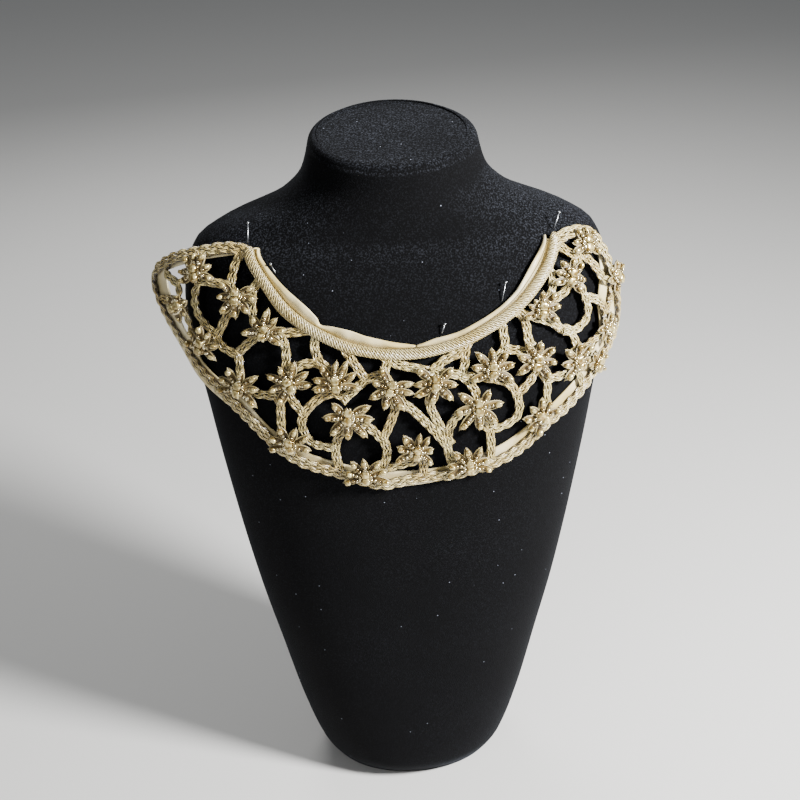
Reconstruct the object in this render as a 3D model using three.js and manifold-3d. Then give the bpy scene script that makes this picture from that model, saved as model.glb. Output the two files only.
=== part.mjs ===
// An openwork yoke collar of silk braid, satin and beaded leaves, pinned on a limbless velvet form.
// Millimetres, +Z up, the front faces -Y. The origin is the middle of the form's flat base.
//
// How it is laid out:
// - the form is a loft of rounded sections, and everything on it is measured from its skin;
// - the collar has its own map: u runs from the left end (-100) to the right end (+100) as the
//   camera sees it, and v from the neck seam (0) to the outer edge (100);
// - each layer of the collar is a wall between two heights above the skin, in the order it is sewn.

import * as THREE from 'three';
import { mergeVertices } from 'three/addons/utils/BufferGeometryUtils.js';
import Module from 'manifold-3d';

const wasm = await Module();
wasm.setup();

// Sizes that several pieces share, in mm

const SEAM_GAP = 0.35;
const LAYER = {
  satin: { low: 0.6, high: 1.6 },
  vine: { low: 2.0, high: 4.6 },
  edge: { low: 2.0, high: 4.9 },
  neck: { low: 2.0, high: 6.2 },
  sprig: { low: 5.42, high: 7.6 },
};
const NECK_BRAID_WIDTH = 8;
const EDGE_BRAID_WIDTH = 8;
const VINE_WIDTH = 7.2;
const FACING_GAP = 0.5;
const STEP_ALONG = 6.6;
const TOP_SLANT = 0.19;

// The form: height, half width, half depth, middle in y, squareness of the section

const FORM_ROWS = [
  [0, 66, 50, -6, 2.1],
  [20, 76, 61, -6, 2.1],
  [60, 87.5, 65, -5, 2.2],
  [120, 100, 68, -4.5, 2.3],
  [180, 112, 70.5, -4, 2.4],
  [240, 122, 73, -3, 2.4],
  [300, 130, 76, -2, 2.5],
  [340, 135, 77.5, -1, 2.5],
  [370, 140, 75, 2, 2.4],
  [400, 142, 68, 5, 2.3],
  [420, 139, 62, 6, 2.2],
  [438, 131, 55.5, 7, 2.1],
  [450, 113, 51, 8, 2],
  [465, 76, 49, 8, 2],
  [480, 60, 47, 8, 2],
  [503, 53, 46, 8, 2],
];

// The collar's map: u, neck angle, neck height, outer angle, outer height, how far the edge stands off

const COLLAR_ROWS = [
  [-110, -52, 454, -90, 430, 18],
  [-100, -47, 445, -88, 418, 18],
  [-80, -37, 428, -84, 397, 15],
  [-60, -27.5, 410, -79, 362, 4],
  [-40, -18, 397, -51, 341, 0],
  [-20, -9, 388.5, -26, 309, 0],
  [0, 0, 385, -3, 292, 0],
  [20, 9, 388.5, 22, 303, 0],
  [40, 18, 397, 47, 332, 0],
  [60, 27.5, 409, 64, 351, 1],
  [80, 37.3, 425.5, 79, 376, 5],
  [100, 47.3, 442, 79, 422, 4],
  [110, 54, 451, 79, 436, 3],
];

// The two border braids, as (u, v) points

const NECK_PATH = [
  [-98.5, 2.6], [-80, 1.5], [-60, 1], [-40, 1.5], [-20, 2], [0, 2], [20, 2], [40, 2.8],
  [60, 3.4], [80, 4.4], [101, 4.8],
];
const EDGE_PATH = [
  [-98, 7], [-101, 18], [-102.6, 34], [-103, 56], [-102, 76], [-98.5, 93], [-92, 99],
  [-85, 96], [-78, 91.5], [-71, 87.5], [-64, 84], [-56, 82], [-50, 84], [-44, 88], [-36, 92],
  [-28, 96], [-20, 97], [-12, 94], [-6, 95], [-1, 97], [4, 93], [10, 95.5], [18, 96.5],
  [26, 95.5], [33, 93], [40, 96], [50, 96], [60, 95], [70, 97], [78, 101], [84, 99],
  [88.5, 89], [93, 78], [98, 69], [102.5, 61], [104.6, 50], [104, 34], [101.5, 18], [98.5, 9],
];

// The vines between them, each a list of (u, v) points. Ends that meet run into each other.

const VINES = [
  [[-94, 45], [-88, 47], [-80, 54], [-72, 54], [-63, 46]],
  [[-88, 47], [-86, 38], [-81, 22]],
  [[-98, 3], [-94, 11], [-81, 22], [-74, 24]],
  [[-74, 22], [-69, 32], [-63, 46], [-61, 62]],
  [[-63, 46], [-57, 47], [-51, 46], [-45, 62]],
  [[-52, 46], [-54, 30], [-56, 15]],
  [[-102.5, 78], [-96, 80], [-88, 68], [-80.5, 70]],
  [[-80.5, 70], [-75, 66], [-67, 67], [-62, 64]],
  [[-80, 2], [-74, 11], [-60, 19], [-56, 15]],
  [[-57, 15], [-51, 12], [-46, 2]],
  [[-52, 13], [-45, 20], [-40, 30], [-36, 40]],
  [[-41, 2], [-38, 9], [-32, 17], [-26, 20]],
  [[-36, 40], [-36, 29], [-32, 20], [-26, 20]],
  [[-45, 62], [-42, 72], [-34, 59], [-30, 72], [-27, 92]],
  [[-36, 40], [-31, 52], [-25, 58]],
  [[-15, 37], [-20, 34], [-24, 42], [-25.5, 58], [-24, 69], [-20, 77], [-14, 74]],
  [[-17, 38], [-12, 20], [-6, 15], [-2, 25]],
  [[-27, 2], [-20, 9], [-12, 19]],
  [[-6, 2], [-6, 16]],
  [[-12, 50], [-7, 51], [-2, 64], [-2, 82], [-4, 94]],
  [[-12, 50], [-14, 62], [-14, 76], [-11, 94]],
  [[-2, 25], [-1, 38], [-3, 61]],
  [[-1, 27], [2, 38], [6, 54], [9, 70]],
  [[7, 22], [6, 36], [8, 54], [10, 70]],
  [[-9, 2], [-4, 6], [8, 14], [18, 21]],
  [[8, 14], [14, 9], [22, 7], [29, 2]],
  [[11, 16], [18, 23], [20, 36], [18, 48]],
  [[18, 22], [24, 28], [30, 41], [30, 58], [27, 69], [20, 66], [18, 50]],
  [[25, 2], [23, 10], [18, 22]],
  [[47, 2], [43, 9], [37, 20], [30, 22]],
  [[37, 20], [42, 30], [46, 38]],
  [[57, 2], [53, 14], [47, 26], [46, 38]],
  [[46, 38], [38, 50], [30, 54]],
  [[46, 38], [41, 50], [40, 62], [36, 76], [33, 92]],
  [[40, 60], [48, 70], [57, 77], [62, 92]],
  [[18, 48], [13, 48], [10, 57], [9, 72], [10, 94]],
  [[18, 48], [20, 64], [18, 94]],
  [[-6, 86], [-2, 84], [3, 78], [3, 67]],
  [[3, 67], [4, 80], [4, 92]],
  [[54, 2], [57, 14], [60, 28], [60, 38]],
  [[60, 38], [62, 44], [59, 58], [54, 62], [52, 76], [50, 94]],
  [[84, 24], [78, 37], [71, 49], [64, 48], [60, 40]],
  [[82, 2], [79, 9], [72, 14], [66, 14]],
  [[84, 24], [77, 23], [70, 19], [66, 14]],
  [[66, 14], [62, 24], [60, 38]],
  [[97, 4], [94, 14], [93, 26], [96, 36]],
  [[84, 24], [89, 29], [94, 28]],
  [[94, 30], [92, 46], [88, 62], [90, 74], [91, 82]],
  [[77, 39], [79, 54], [77, 66], [72, 76], [70, 94]],
  [[56, 62], [62, 68], [72, 76]],
  [[77, 68], [83, 74], [90, 76]],
  [[96, 36], [98, 44], [104, 50]],
  [[-94, 45], [-99, 46], [-103, 48]],
  [[-80.5, 70], [-82, 82], [-83, 94]],
];

// The beaded leaf sprigs: u, v, heading of the middle leaf (0 points to the neck, 90 to the right),
// how far the leaves fan out in degrees, number of leaves, reach in mm

const SPRIGS = [
  [-92, 46, 275, 230, 7, 12.5],
  [-75, 20.5, 110, 250, 7, 14],
  [-55, 18.5, 315, 220, 6, 14.5],
  [-61.5, 61.5, 320, 220, 6, 13],
  [-43, 71, 325, 230, 7, 16],
  [-33.5, 43, 290, 240, 7, 15.5],
  [-21.5, 27, 325, 220, 7, 16],
  [-25, 86, 330, 220, 6, 15],
  [-13.5, 46, 165, 240, 7, 17],
  [-5.5, 90, 350, 220, 7, 15.5],
  [-3, 22.5, 190, 260, 7, 15.5],
  [8.5, 21.5, 195, 250, 7, 15.5],
  [3, 70, 5, 240, 7, 15.5],
  [19, 46, 195, 260, 7, 17],
  [13, 90, 5, 230, 7, 16],
  [28.5, 27, 35, 240, 7, 15.5],
  [42, 42, 60, 250, 7, 15],
  [54, 69, 20, 230, 6, 14],
  [33, 82, 340, 250, 7, 13.5],
  [62, 15.5, 60, 240, 7, 13.5],
  [82, 21.5, 80, 260, 7, 12],
  [98.5, 40, 80, 250, 7, 11],
  [90.5, 81, 10, 240, 5, 10.5],
  [-78, 69.5, 350, 240, 5, 9],
  [60, 90, 60, 220, 5, 10.5],
  [72, 76, 350, 240, 6, 10.5],
];

const LEAF_WIDTH = 6;
const LEAF_WIDEST = 0.45;
const BOSS_RADIUS = 4.4;
const SHORTEST_LEAF = 5.8;

// Where the satin border shows: u, v of its inner side and v of its outer side

const BORDER_ROWS = [
  [-100, 84, 100],
  [-90, 84, 103],
  [-80, 80, 102.5],
  [-70, 78, 101.5],
  [-60, 76, 100],
  [-50, 78, 98],
  [-40, 82, 98],
  [-30, 88, 99.5],
  [-20, 89, 100.5],
  [-10, 87, 98.5],
  [0, 88, 101],
  [10, 89, 99.5],
  [20, 86, 100.5],
  [30, 84, 99],
  [40, 84, 100],
  [50, 84, 100.5],
  [60, 83, 99.5],
  [70, 75, 102],
  [78, 58, 105.5],
  [84, 57, 104.5],
  [89, 61, 95],
  [95, 64, 81],
];

// The satin facing inside the neck braid: u, v of its free edge, how far that edge stands off

const FACING_LEFT = [
  [-97, -3.7, 0],
  [-88, -5.6, 0.6],
  [-76, -7, 1.4],
  [-62, -8.6, 3.4],
  [-50, -7.5, 3],
  [-45, -5.2, 0.6],
  [-40, -8.2, 2.5],
  [-30, -10.5, 4],
  [-20, -9, 3],
  [-10, -7.4, 1.5],
  [-1, -5.4, 0.5],
  [2.5, -3.8, 0],
];
const FACING_RIGHT = [
  [4, -3.7, 0],
  [14, -5.8, 0.6],
  [26, -5.4, 0.6],
  [40, -5.3, 0.7],
  [50, -4.9, 0.9],
  [60, -4.7, 1],
  [70, -5.1, 1.3],
  [82, -6.1, 1.5],
  [90, -5.9, 0.9],
  [99.5, -4.1, 0],
];

// The dress pins: u, v of the point, direction of the shaft in x, y and z, length shown

const PINS = [
  [-101.8, 6.5, 0.09, 0.2, 0.98, 14.2],
  [-80.5, -7.8, -0.39, 0.18, 0.9, 8],
  [17, -7, 0.3, 0.1, 0.95, 8],
  [55.5, -5.9, 0.2, 0.19, 0.96, 13.6],
  [103.6, 9, 0.3, 0.18, 0.94, 12.6],
];
const PIN_RADIUS = 0.4;
const PIN_HEAD_RADIUS = 0.95;

// Smooth lines through a table

function smoothColumn(rows, column) {
  const x = rows.map((row) => row[0]);
  const y = rows.map((row) => row[column]);
  const last = x.length - 1;
  const slope = x.slice(1).map((value, i) => (y[i + 1] - y[i]) / (value - x[i]));
  const tangent = x.map((_, i) => {
    if (i === 0) return slope[0];
    if (i === last) return slope[last - 1];
    if (slope[i - 1] * slope[i] <= 0) return 0;
    const before = x[i] - x[i - 1];
    const after = x[i + 1] - x[i];
    const w1 = 2 * after + before;
    const w2 = after + 2 * before;
    return (w1 + w2) / (w1 / slope[i - 1] + w2 / slope[i]);
  });
  return (at) => {
    if (at <= x[0]) return y[0] + tangent[0] * (at - x[0]);
    if (at >= x[last]) return y[last] + tangent[last] * (at - x[last]);
    let i = 0;
    while (at > x[i + 1]) i += 1;
    const h = x[i + 1] - x[i];
    const t = (at - x[i]) / h;
    const t2 = t * t;
    const t3 = t2 * t;
    return y[i] * (2 * t3 - 3 * t2 + 1) + h * tangent[i] * (t3 - 2 * t2 + t)
      + y[i + 1] * (3 * t2 - 2 * t3) + h * tangent[i + 1] * (t3 - t2);
  };
}

function catmullRom(points, spacingOf) {
  const out = [];
  for (let i = 0; i < points.length - 1; i += 1) {
    const a = points[Math.max(i - 1, 0)];
    const b = points[i];
    const c = points[i + 1];
    const d = points[Math.min(i + 2, points.length - 1)];
    const pieces = Math.max(1, Math.round(spacingOf(b, c) / STEP_ALONG));
    for (let k = 0; k < pieces; k += 1) {
      const t = k / pieces;
      out.push([0, 1].map((axis) => 0.5 * (2 * b[axis] + (c[axis] - a[axis]) * t
        + (2 * a[axis] - 5 * b[axis] + 4 * c[axis] - d[axis]) * t * t
        + (3 * b[axis] - a[axis] - 3 * c[axis] + d[axis]) * t * t * t)));
    }
  }
  out.push(points[points.length - 1]);
  return out;
}

// The form's skin and the collar's map on it

const formHalfWidth = smoothColumn(FORM_ROWS, 1);
const formHalfDepth = smoothColumn(FORM_ROWS, 2);
const formMiddle = smoothColumn(FORM_ROWS, 3);
const formSquareness = smoothColumn(FORM_ROWS, 4);

function formPoint(angle, z) {
  const power = 2 / formSquareness(z);
  const side = Math.sin(angle);
  const front = Math.cos(angle);
  return new THREE.Vector3(
    formHalfWidth(z) * Math.sign(side) * Math.abs(side) ** power,
    formMiddle(z) - formHalfDepth(z) * Math.sign(front) * Math.abs(front) ** power,
    z,
  );
}

function formNormal(angle, z) {
  const around = formPoint(angle + 0.01, z).sub(formPoint(angle - 0.01, z));
  const up = formPoint(angle, z + 1).sub(formPoint(angle, z - 1));
  return around.cross(up).normalize();
}

const neckAngle = smoothColumn(COLLAR_ROWS, 1);
const neckHeight = smoothColumn(COLLAR_ROWS, 2);
const outerAngle = smoothColumn(COLLAR_ROWS, 3);
const outerHeight = smoothColumn(COLLAR_ROWS, 4);
const edgeStandOff = smoothColumn(COLLAR_ROWS, 5);

function collarSite(u, v) {
  const share = v / 100;
  const angle = THREE.MathUtils.degToRad(
    THREE.MathUtils.lerp(neckAngle(u), outerAngle(u), share),
  );
  const z = THREE.MathUtils.lerp(neckHeight(u), outerHeight(u), share);
  const normal = formNormal(angle, z);
  const lift = Math.max(edgeStandOff(u), 0) * share * share;
  return { skin: formPoint(angle, z).addScaledVector(normal, lift), normal };
}

function collarPoint(u, v, height) {
  const site = collarSite(u, v);
  return site.skin.addScaledVector(site.normal, height);
}

function collarDistance(from, to) {
  return collarPoint(from[0], from[1], 0).distanceTo(collarPoint(to[0], to[1], 0));
}

// Closed bodies from rings of points

function ringsGeometry(rings) {
  const count = rings[0].length;
  const positions = rings.flat().flatMap((p) => [p.x, p.y, p.z]);
  const index = [];
  for (let i = 0; i < rings.length - 1; i += 1) {
    const here = i * count;
    const next = here + count;
    for (let k = 0; k < count; k += 1) {
      const right = (k + 1) % count;
      index.push(here + k, here + right, next + right, here + k, next + right, next + k);
    }
  }
  const end = (rings.length - 1) * count;
  for (let k = 1; k < count - 1; k += 1) {
    index.push(0, k + 1, k, end, end + k, end + k + 1);
  }
  const geometry = new THREE.BufferGeometry();
  geometry.setAttribute('position', new THREE.Float32BufferAttribute(positions, 3));
  geometry.setIndex(index);
  return geometry;
}

function volumeOf(geometry) {
  const p = geometry.getAttribute('position');
  const index = geometry.getIndex();
  const corner = [new THREE.Vector3(), new THREE.Vector3(), new THREE.Vector3()];
  let volume = 0;
  for (let i = 0; i < index.count; i += 3) {
    corner.forEach((c, k) => c.fromBufferAttribute(p, index.getX(i + k)));
    volume += corner[0].dot(corner[1].clone().cross(corner[2])) / 6;
  }
  return volume;
}

function facingOut(geometry) {
  if (volumeOf(geometry) > 0) return geometry;
  const old = Array.from(geometry.getIndex().array);
  const index = [];
  for (let i = 0; i < old.length; i += 3) index.push(old[i], old[i + 2], old[i + 1]);
  geometry.setIndex(index);
  return geometry;
}

function toManifold(geometry) {
  const clean = facingOut(geometry);
  return new wasm.Manifold(new wasm.Mesh({
    numProp: 3,
    vertProperties: new Float32Array(clean.getAttribute('position').array),
    triVerts: new Uint32Array(clean.getIndex().array),
  }));
}

function fromManifold(solid) {
  const mesh = solid.getMesh();
  const geometry = new THREE.BufferGeometry();
  const positions = new Float32Array(mesh.numVert * 3);
  for (let i = 0; i < mesh.numVert; i += 1) {
    for (let k = 0; k < 3; k += 1) {
      positions[i * 3 + k] = mesh.vertProperties[i * mesh.numProp + k];
    }
  }
  geometry.setAttribute('position', new THREE.BufferAttribute(positions, 3));
  geometry.setIndex(Array.from(mesh.triVerts));
  return mergeVertices(geometry, 1e-4);
}

// A cut can leave several bodies: they are sorted by volume, largest first

function separateBodies(geometry) {
  const index = Array.from(geometry.getIndex().array);
  const p = geometry.getAttribute('position');
  const parent = Array.from({ length: p.count }, (_, i) => i);
  const rootOf = (i) => {
    let r = i;
    while (parent[r] !== r) r = parent[r];
    parent[i] = r;
    return r;
  };
  for (let i = 0; i < index.length; i += 3) {
    parent[rootOf(index[i])] = rootOf(index[i + 1]);
    parent[rootOf(index[i + 1])] = rootOf(index[i + 2]);
  }
  const groups = new Map();
  for (let i = 0; i < index.length; i += 3) {
    const root = rootOf(index[i]);
    if (!groups.has(root)) groups.set(root, []);
    groups.get(root).push(index[i], index[i + 1], index[i + 2]);
  }
  const bodies = [...groups.values()].map((list) => {
    const renumber = new Map();
    const positions = [];
    const triangles = list.map((old) => {
      if (!renumber.has(old)) {
        renumber.set(old, positions.length / 3);
        positions.push(p.getX(old), p.getY(old), p.getZ(old));
      }
      return renumber.get(old);
    });
    const body = new THREE.BufferGeometry();
    body.setAttribute('position', new THREE.Float32BufferAttribute(positions, 3));
    body.setIndex(triangles);
    return body;
  });
  return bodies.sort((a, b) => volumeOf(b) - volumeOf(a));
}

// A braid laid along a path on the collar: a rounded cord, or a flat one with sloping sides.
// The shares are of its half width, and of its height for the widest place.

const BRAID_SECTION = { widestAt: 0.45, roundTop: 0.55, roundFoot: 0.6, flatTop: 0.62 };

function braid(path, width, layer, { extra = 0, flat = false } = {}) {
  const line = catmullRom(path, collarDistance);
  const sites = line.map(([u, v]) => collarSite(u, v));
  const half = width / 2 + extra;
  const low = layer.low - extra;
  const high = layer.high + extra;
  const { widestAt, roundTop, roundFoot, flatTop } = BRAID_SECTION;
  const middle = THREE.MathUtils.lerp(low, high, widestAt);
  const section = flat
    ? [[-half, low], [-half * flatTop, high], [half * flatTop, high], [half, low]]
    : [
      [-half, middle], [-half * roundTop, high], [half * roundTop, high],
      [half, middle], [half * roundFoot, low], [-half * roundFoot, low],
    ];
  const rings = sites.map((site, i) => {
    const before = sites[Math.max(i - 1, 0)].skin;
    const after = sites[Math.min(i + 1, sites.length - 1)].skin;
    const along = after.clone().sub(before).normalize();
    const across = along.clone().cross(site.normal).normalize();
    return section.map(([x, h]) => site.skin.clone()
      .addScaledVector(across, x).addScaledVector(site.normal, h));
  });
  return toManifold(ringsGeometry(rings));
}

// A cloth wall between two lines, given station by station as (u, v, stand-off) ends

function clothWall(stations, columns, layer, extra = 0) {
  const rings = stations.map(({ inner, outer }) => {
    const steps = Array.from({ length: columns + 1 }, (_, k) => k / columns);
    const at = (share, height) => collarPoint(
      THREE.MathUtils.lerp(inner[0], outer[0], share),
      THREE.MathUtils.lerp(inner[1], outer[1], share),
      height + THREE.MathUtils.lerp(inner[2] ?? 0, outer[2] ?? 0, share),
    );
    const top = steps.map((share) => at(share, layer.high + extra));
    const under = steps.map((share) => at(share, layer.low - extra)).reverse();
    return [...top, ...under];
  });
  return facingOut(ringsGeometry(rings));
}

function rangeOf(from, to, step) {
  const count = Math.max(1, Math.round(Math.abs(to - from) / step));
  return Array.from({ length: count + 1 }, (_, i) => from + ((to - from) * i) / count);
}

// The satin border: one strip under the neck braid, and one down both ends and along the edge.
// Each end bulges out by a sine of v, which is over at the v called over.

const NECK_STRIP = { end: 98, step: 5.6, inner: 4.6, outer: -1.6 };
const STRIP_ALONG_EDGE = { from: 95, to: -94, step: 3 };
const STRIP_ENDS = {
  right: { from: 10, to: 62, step: 7, inner: 95, outer: 99.3, bulge: 7.5, over: 90 },
  left: { from: 84, to: 10, step: 8, inner: -96, outer: -100.3, bulge: -3.8, over: 100 },
};
const INNER_BULGE_SHARE = 0.9;

function neckStripStations() {
  const { end, step, inner, outer } = NECK_STRIP;
  return rangeOf(-end, end, step).map((u) => ({ inner: [u, inner], outer: [u, outer] }));
}

function endStations({ from, to, step, inner, outer, bulge, over }) {
  return rangeOf(from, to, step).map((v) => {
    const out = bulge * Math.sin((Math.PI * v) / over);
    return { inner: [inner + out * INNER_BULGE_SHARE, v], outer: [outer + out, v] };
  });
}

function edgeStripStations() {
  const innerV = smoothColumn(BORDER_ROWS, 1);
  const outerV = smoothColumn(BORDER_ROWS, 2);
  const { from, to, step } = STRIP_ALONG_EDGE;
  const edge = rangeOf(from, to, step).map((u) => (
    { inner: [u, innerV(u)], outer: [u, outerV(u)] }
  ));
  return [...endStations(STRIP_ENDS.right), ...edge, ...endStations(STRIP_ENDS.left)];
}

// A sprig: leaves fanned round a small boss, shortened where a neighbour or the neck braid is near

const ROOM_AT_NECK = 0.8;
const ROOM_AT_SPRIG = 0.4;
const LEAF_RIM_HEIGHT = 0.8;
const VALLEY_HEIGHT = 1.3;
const PEAK_HEIGHT = 1;
const SECOND_LEAF = 0.9;
const LEAF_TURN_SHARE = 0.86;
const REACH_STEP = 0.5;
const BARE_RIM_TURN = 0.7;

function sprigFrame([u, v]) {
  const site = collarSite(u, v);
  const perU = collarPoint(u + 1, v, 0).sub(collarPoint(u - 1, v, 0)).divideScalar(2);
  const perV = collarPoint(u, v + 1, 0).sub(collarPoint(u, v - 1, 0)).divideScalar(2);
  const toNeck = perV.clone().negate().normalize();
  const right = toNeck.clone().cross(site.normal).normalize();
  return { u, v, centre: site.skin, normal: site.normal, toNeck, right, perU, perV };
}

// A place beside a sprig's middle, in mm, as a step in u and v, so that the sprig bends with the cloth

function besideSprig(frame, forward, sideways) {
  const uRight = frame.perU.dot(frame.right);
  const uForward = frame.perU.dot(frame.toNeck);
  const vForward = frame.perV.dot(frame.toNeck);
  const stepU = sideways / uRight;
  const stepV = (forward - uForward * stepU) / vForward;
  return [frame.u + stepU, frame.v + stepV];
}

const sprigFrames = SPRIGS.map(sprigFrame);
const neckLine = rangeOf(-100, 100, 2).map((u) => collarPoint(u, 2, 0));

function roomFor(number, point) {
  const own = sprigFrames[number].centre;
  const neckRoom = Math.min(...neckLine.map((p) => p.distanceTo(point)));
  if (neckRoom < NECK_BRAID_WIDTH / 2 + ROOM_AT_NECK) return false;
  return sprigFrames.every((other, i) => {
    if (i === number) return true;
    const between = other.centre.clone().sub(own);
    const distance = between.length();
    return point.clone().sub(own).dot(between) / distance < distance / 2 - ROOM_AT_SPRIG;
  });
}

function sprigPoint(number, angle, radius, height) {
  const [u, v] = besideSprig(
    sprigFrames[number],
    radius * Math.cos(angle),
    radius * Math.sin(angle),
  );
  return collarPoint(u, v, height);
}

function leafOutline(angle, reach, halfTurn) {
  const widest = THREE.MathUtils.lerp(BOSS_RADIUS, reach, LEAF_WIDEST);
  const turn = Math.min(Math.asin(LEAF_WIDTH / 2 / widest), halfTurn * LEAF_TURN_SHARE);
  return [
    { angle: angle - turn, radius: widest },
    { angle, radius: reach },
    { angle: angle + turn, radius: widest },
  ];
}

function leafReach(number, angle, wanted, halfTurn) {
  let reach = wanted;
  while (reach > SHORTEST_LEAF) {
    const outline = leafOutline(angle, reach, halfTurn);
    if (outline.every((p) => roomFor(number, sprigPoint(number, p.angle, p.radius, 0)))) break;
    reach -= REACH_STEP;
  }
  return Math.max(reach, SHORTEST_LEAF);
}

function sprigSolid(number) {
  const [, , heading, fan, leaves, reach] = SPRIGS[number];
  const { low, high } = LAYER.sprig;
  const halfTurn = THREE.MathUtils.degToRad(fan / (leaves - 1) / 2);
  const first = THREE.MathUtils.degToRad(heading - fan / 2);
  const rim = [];
  const ridges = [];
  const addValley = (angle) => rim.push({ angle, radius: BOSS_RADIUS, height: low + VALLEY_HEIGHT });
  for (let k = 0; k < leaves; k += 1) {
    const angle = first + 2 * halfTurn * k;
    const long = leafReach(number, angle, reach * (k % 2 ? SECOND_LEAF : 1), halfTurn);
    addValley(angle - halfTurn);
    ridges.push({ rimStart: rim.length - 1, angle, radius: (BOSS_RADIUS + long) / 2 });
    leafOutline(angle, long, halfTurn).forEach((p) => (
      rim.push({ ...p, height: low + LEAF_RIM_HEIGHT })
    ));
  }
  const open = 2 * Math.PI - 2 * halfTurn * leaves;
  const bareTurns = Math.max(1, Math.round(open / BARE_RIM_TURN));
  for (let k = 0; k < bareTurns; k += 1) {
    addValley(first + halfTurn * (2 * leaves - 1) + (open * k) / bareTurns);
  }
  const count = rim.length;
  const points = [
    ...rim.map((p) => sprigPoint(number, p.angle, p.radius, p.height)),
    ...rim.map((p) => sprigPoint(number, p.angle, p.radius, low)),
    sprigPoint(number, 0, 0, high + PEAK_HEIGHT),
    sprigPoint(number, 0, 0, low),
    ...ridges.map((p) => sprigPoint(number, p.angle, p.radius, high)),
  ];
  const peak = 2 * count;
  const under = 2 * count + 1;
  const index = [];
  rim.forEach((_, i) => {
    const next = (i + 1) % count;
    index.push(i, count + i, count + next, i, count + next, next, under, count + next, count + i);
  });
  ridges.forEach(({ rimStart }, k) => {
    const ridge = 2 * count + 2 + k;
    for (let i = rimStart; i < rimStart + 4; i += 1) index.push(ridge, i, (i + 1) % count);
    index.push(ridge, peak, rimStart, ridge, (rimStart + 4) % count, peak);
  });
  for (let i = 4 * ridges.length; i < count; i += 1) index.push(peak, i, (i + 1) % count);
  const geometry = new THREE.BufferGeometry();
  geometry.setAttribute('position', new THREE.Float32BufferAttribute(
    points.flatMap((q) => [q.x, q.y, q.z]),
    3,
  ));
  geometry.setIndex(index);
  return facingOut(geometry);
}

// A dress pin: its point rests on the form and its head stands up clear of the neck edge

function pinSolid([u, v, x, y, z, length]) {
  const site = collarSite(u, v);
  const start = site.skin.clone().addScaledVector(site.normal, SEAM_GAP + PIN_RADIUS);
  const axis = new THREE.Vector3(x, y, z).normalize();
  const sideways = axis.clone().cross(site.normal).normalize();
  const third = axis.clone().cross(sideways).normalize();
  const ring = (radius, along) => Array.from({ length: 5 }, (_, k) => {
    const turn = (k * 2 * Math.PI) / 5;
    return start.clone().addScaledVector(axis, along)
      .addScaledVector(sideways, radius * Math.cos(turn))
      .addScaledVector(third, radius * Math.sin(turn));
  });
  return facingOut(ringsGeometry([
    ring(PIN_RADIUS * 0.6, 0),
    ring(PIN_RADIUS, length - PIN_HEAD_RADIUS * 2),
    ring(PIN_HEAD_RADIUS, length - PIN_HEAD_RADIUS * 1.2),
    ring(PIN_HEAD_RADIUS * 0.6, length),
  ]));
}

// The form: rings of the sections, with rounded rims and a neck top that slants to the front

const FORM_SIDES = 40;
const FORM_TOP = 503;
const SLANT_FROM = 462;
const FORM_HEIGHTS = [12, 35, 70, 120, 180, 240, 285, 320, 347, 368, 386, 402, 415, 426,
  435, 443, 450, 457, 465, 477, FORM_TOP - 4];

function formSolid() {
  const ring = (z, inset, z0 = z) => Array.from({ length: FORM_SIDES }, (_, k) => {
    const angle = (2 * Math.PI * k) / FORM_SIDES;
    const p = formPoint(angle, z0);
    const middle = new THREE.Vector3(0, formMiddle(z0), p.z);
    const rim = p.clone().sub(middle);
    const drawn = middle.add(rim.multiplyScalar(Math.max(0, 1 - inset / rim.length())));
    const share = THREE.MathUtils.smoothstep(z, SLANT_FROM, FORM_TOP);
    drawn.z = z + TOP_SLANT * share * (drawn.y - formMiddle(z0));
    return drawn;
  });
  return facingOut(ringsGeometry([
    ring(0, 3, 1),
    ring(1, 1, 2),
    ring(3.5, 0),
    ...FORM_HEIGHTS.map((z) => ring(z, 0)),
    ring(FORM_TOP - 1.2, 1.3, FORM_TOP),
    ring(FORM_TOP, 4, FORM_TOP),
  ]));
}

// The whole part

const FINISHES = {
  form: { color: 0x101114, roughness: 0.95 },
  satin: { color: 0xe6dcc4, roughness: 0.45 },
  braid: { color: 0xd2c39a, roughness: 0.6 },
  leaf: { color: 0xe4d8b8, roughness: 0.5 },
  pin: { color: 0xb8bcc0, roughness: 0.3 },
};

const part = new THREE.Group();
const collar = new THREE.Group();
const pins = new THREE.Group();
part.add(collar, pins);

function addPiece(group, name, geometry, finish) {
  const mesh = new THREE.Mesh(
    geometry,
    new THREE.MeshStandardMaterial({ ...finish, metalness: 0 }),
  );
  mesh.name = name;
  group.add(mesh);
}

addPiece(part, 'display_bust', formSolid(), FINISHES.form);

const neckStrip = clothWall(neckStripStations(), 1, LAYER.satin);
const edgeStrip = clothWall(edgeStripStations(), 2, LAYER.satin);
addPiece(collar, 'satin_neck', neckStrip, FINISHES.satin);
addPiece(collar, 'satin_edge', edgeStrip, FINISHES.satin);

[['left', FACING_LEFT], ['right', FACING_RIGHT]].forEach(([side, rows]) => {
  const freeEdge = smoothColumn(rows, 1);
  const standOff = smoothColumn(rows, 2);
  const stations = rangeOf(rows[0][0], rows[rows.length - 1][0], 3.6).map((u) => ({
    inner: [u, NECK_STRIP.outer - FACING_GAP, 0],
    outer: [u, freeEdge(u), Math.max(0, standOff(u))],
  }));
  const facing = clothWall(stations, 2, LAYER.satin);
  addPiece(collar, `neck_facing_${side}`, facing, FINISHES.satin);
});

// Each braid is cut back from the room that the pieces sewn on before it take up

const neckRoom = braid(NECK_PATH, NECK_BRAID_WIDTH, LAYER.neck, { extra: SEAM_GAP });
const edgeRoom = braid(EDGE_PATH, EDGE_BRAID_WIDTH, LAYER.edge, { extra: SEAM_GAP });
const satinRoom = toManifold(clothWall(edgeStripStations(), 2, LAYER.satin, SEAM_GAP));

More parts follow.
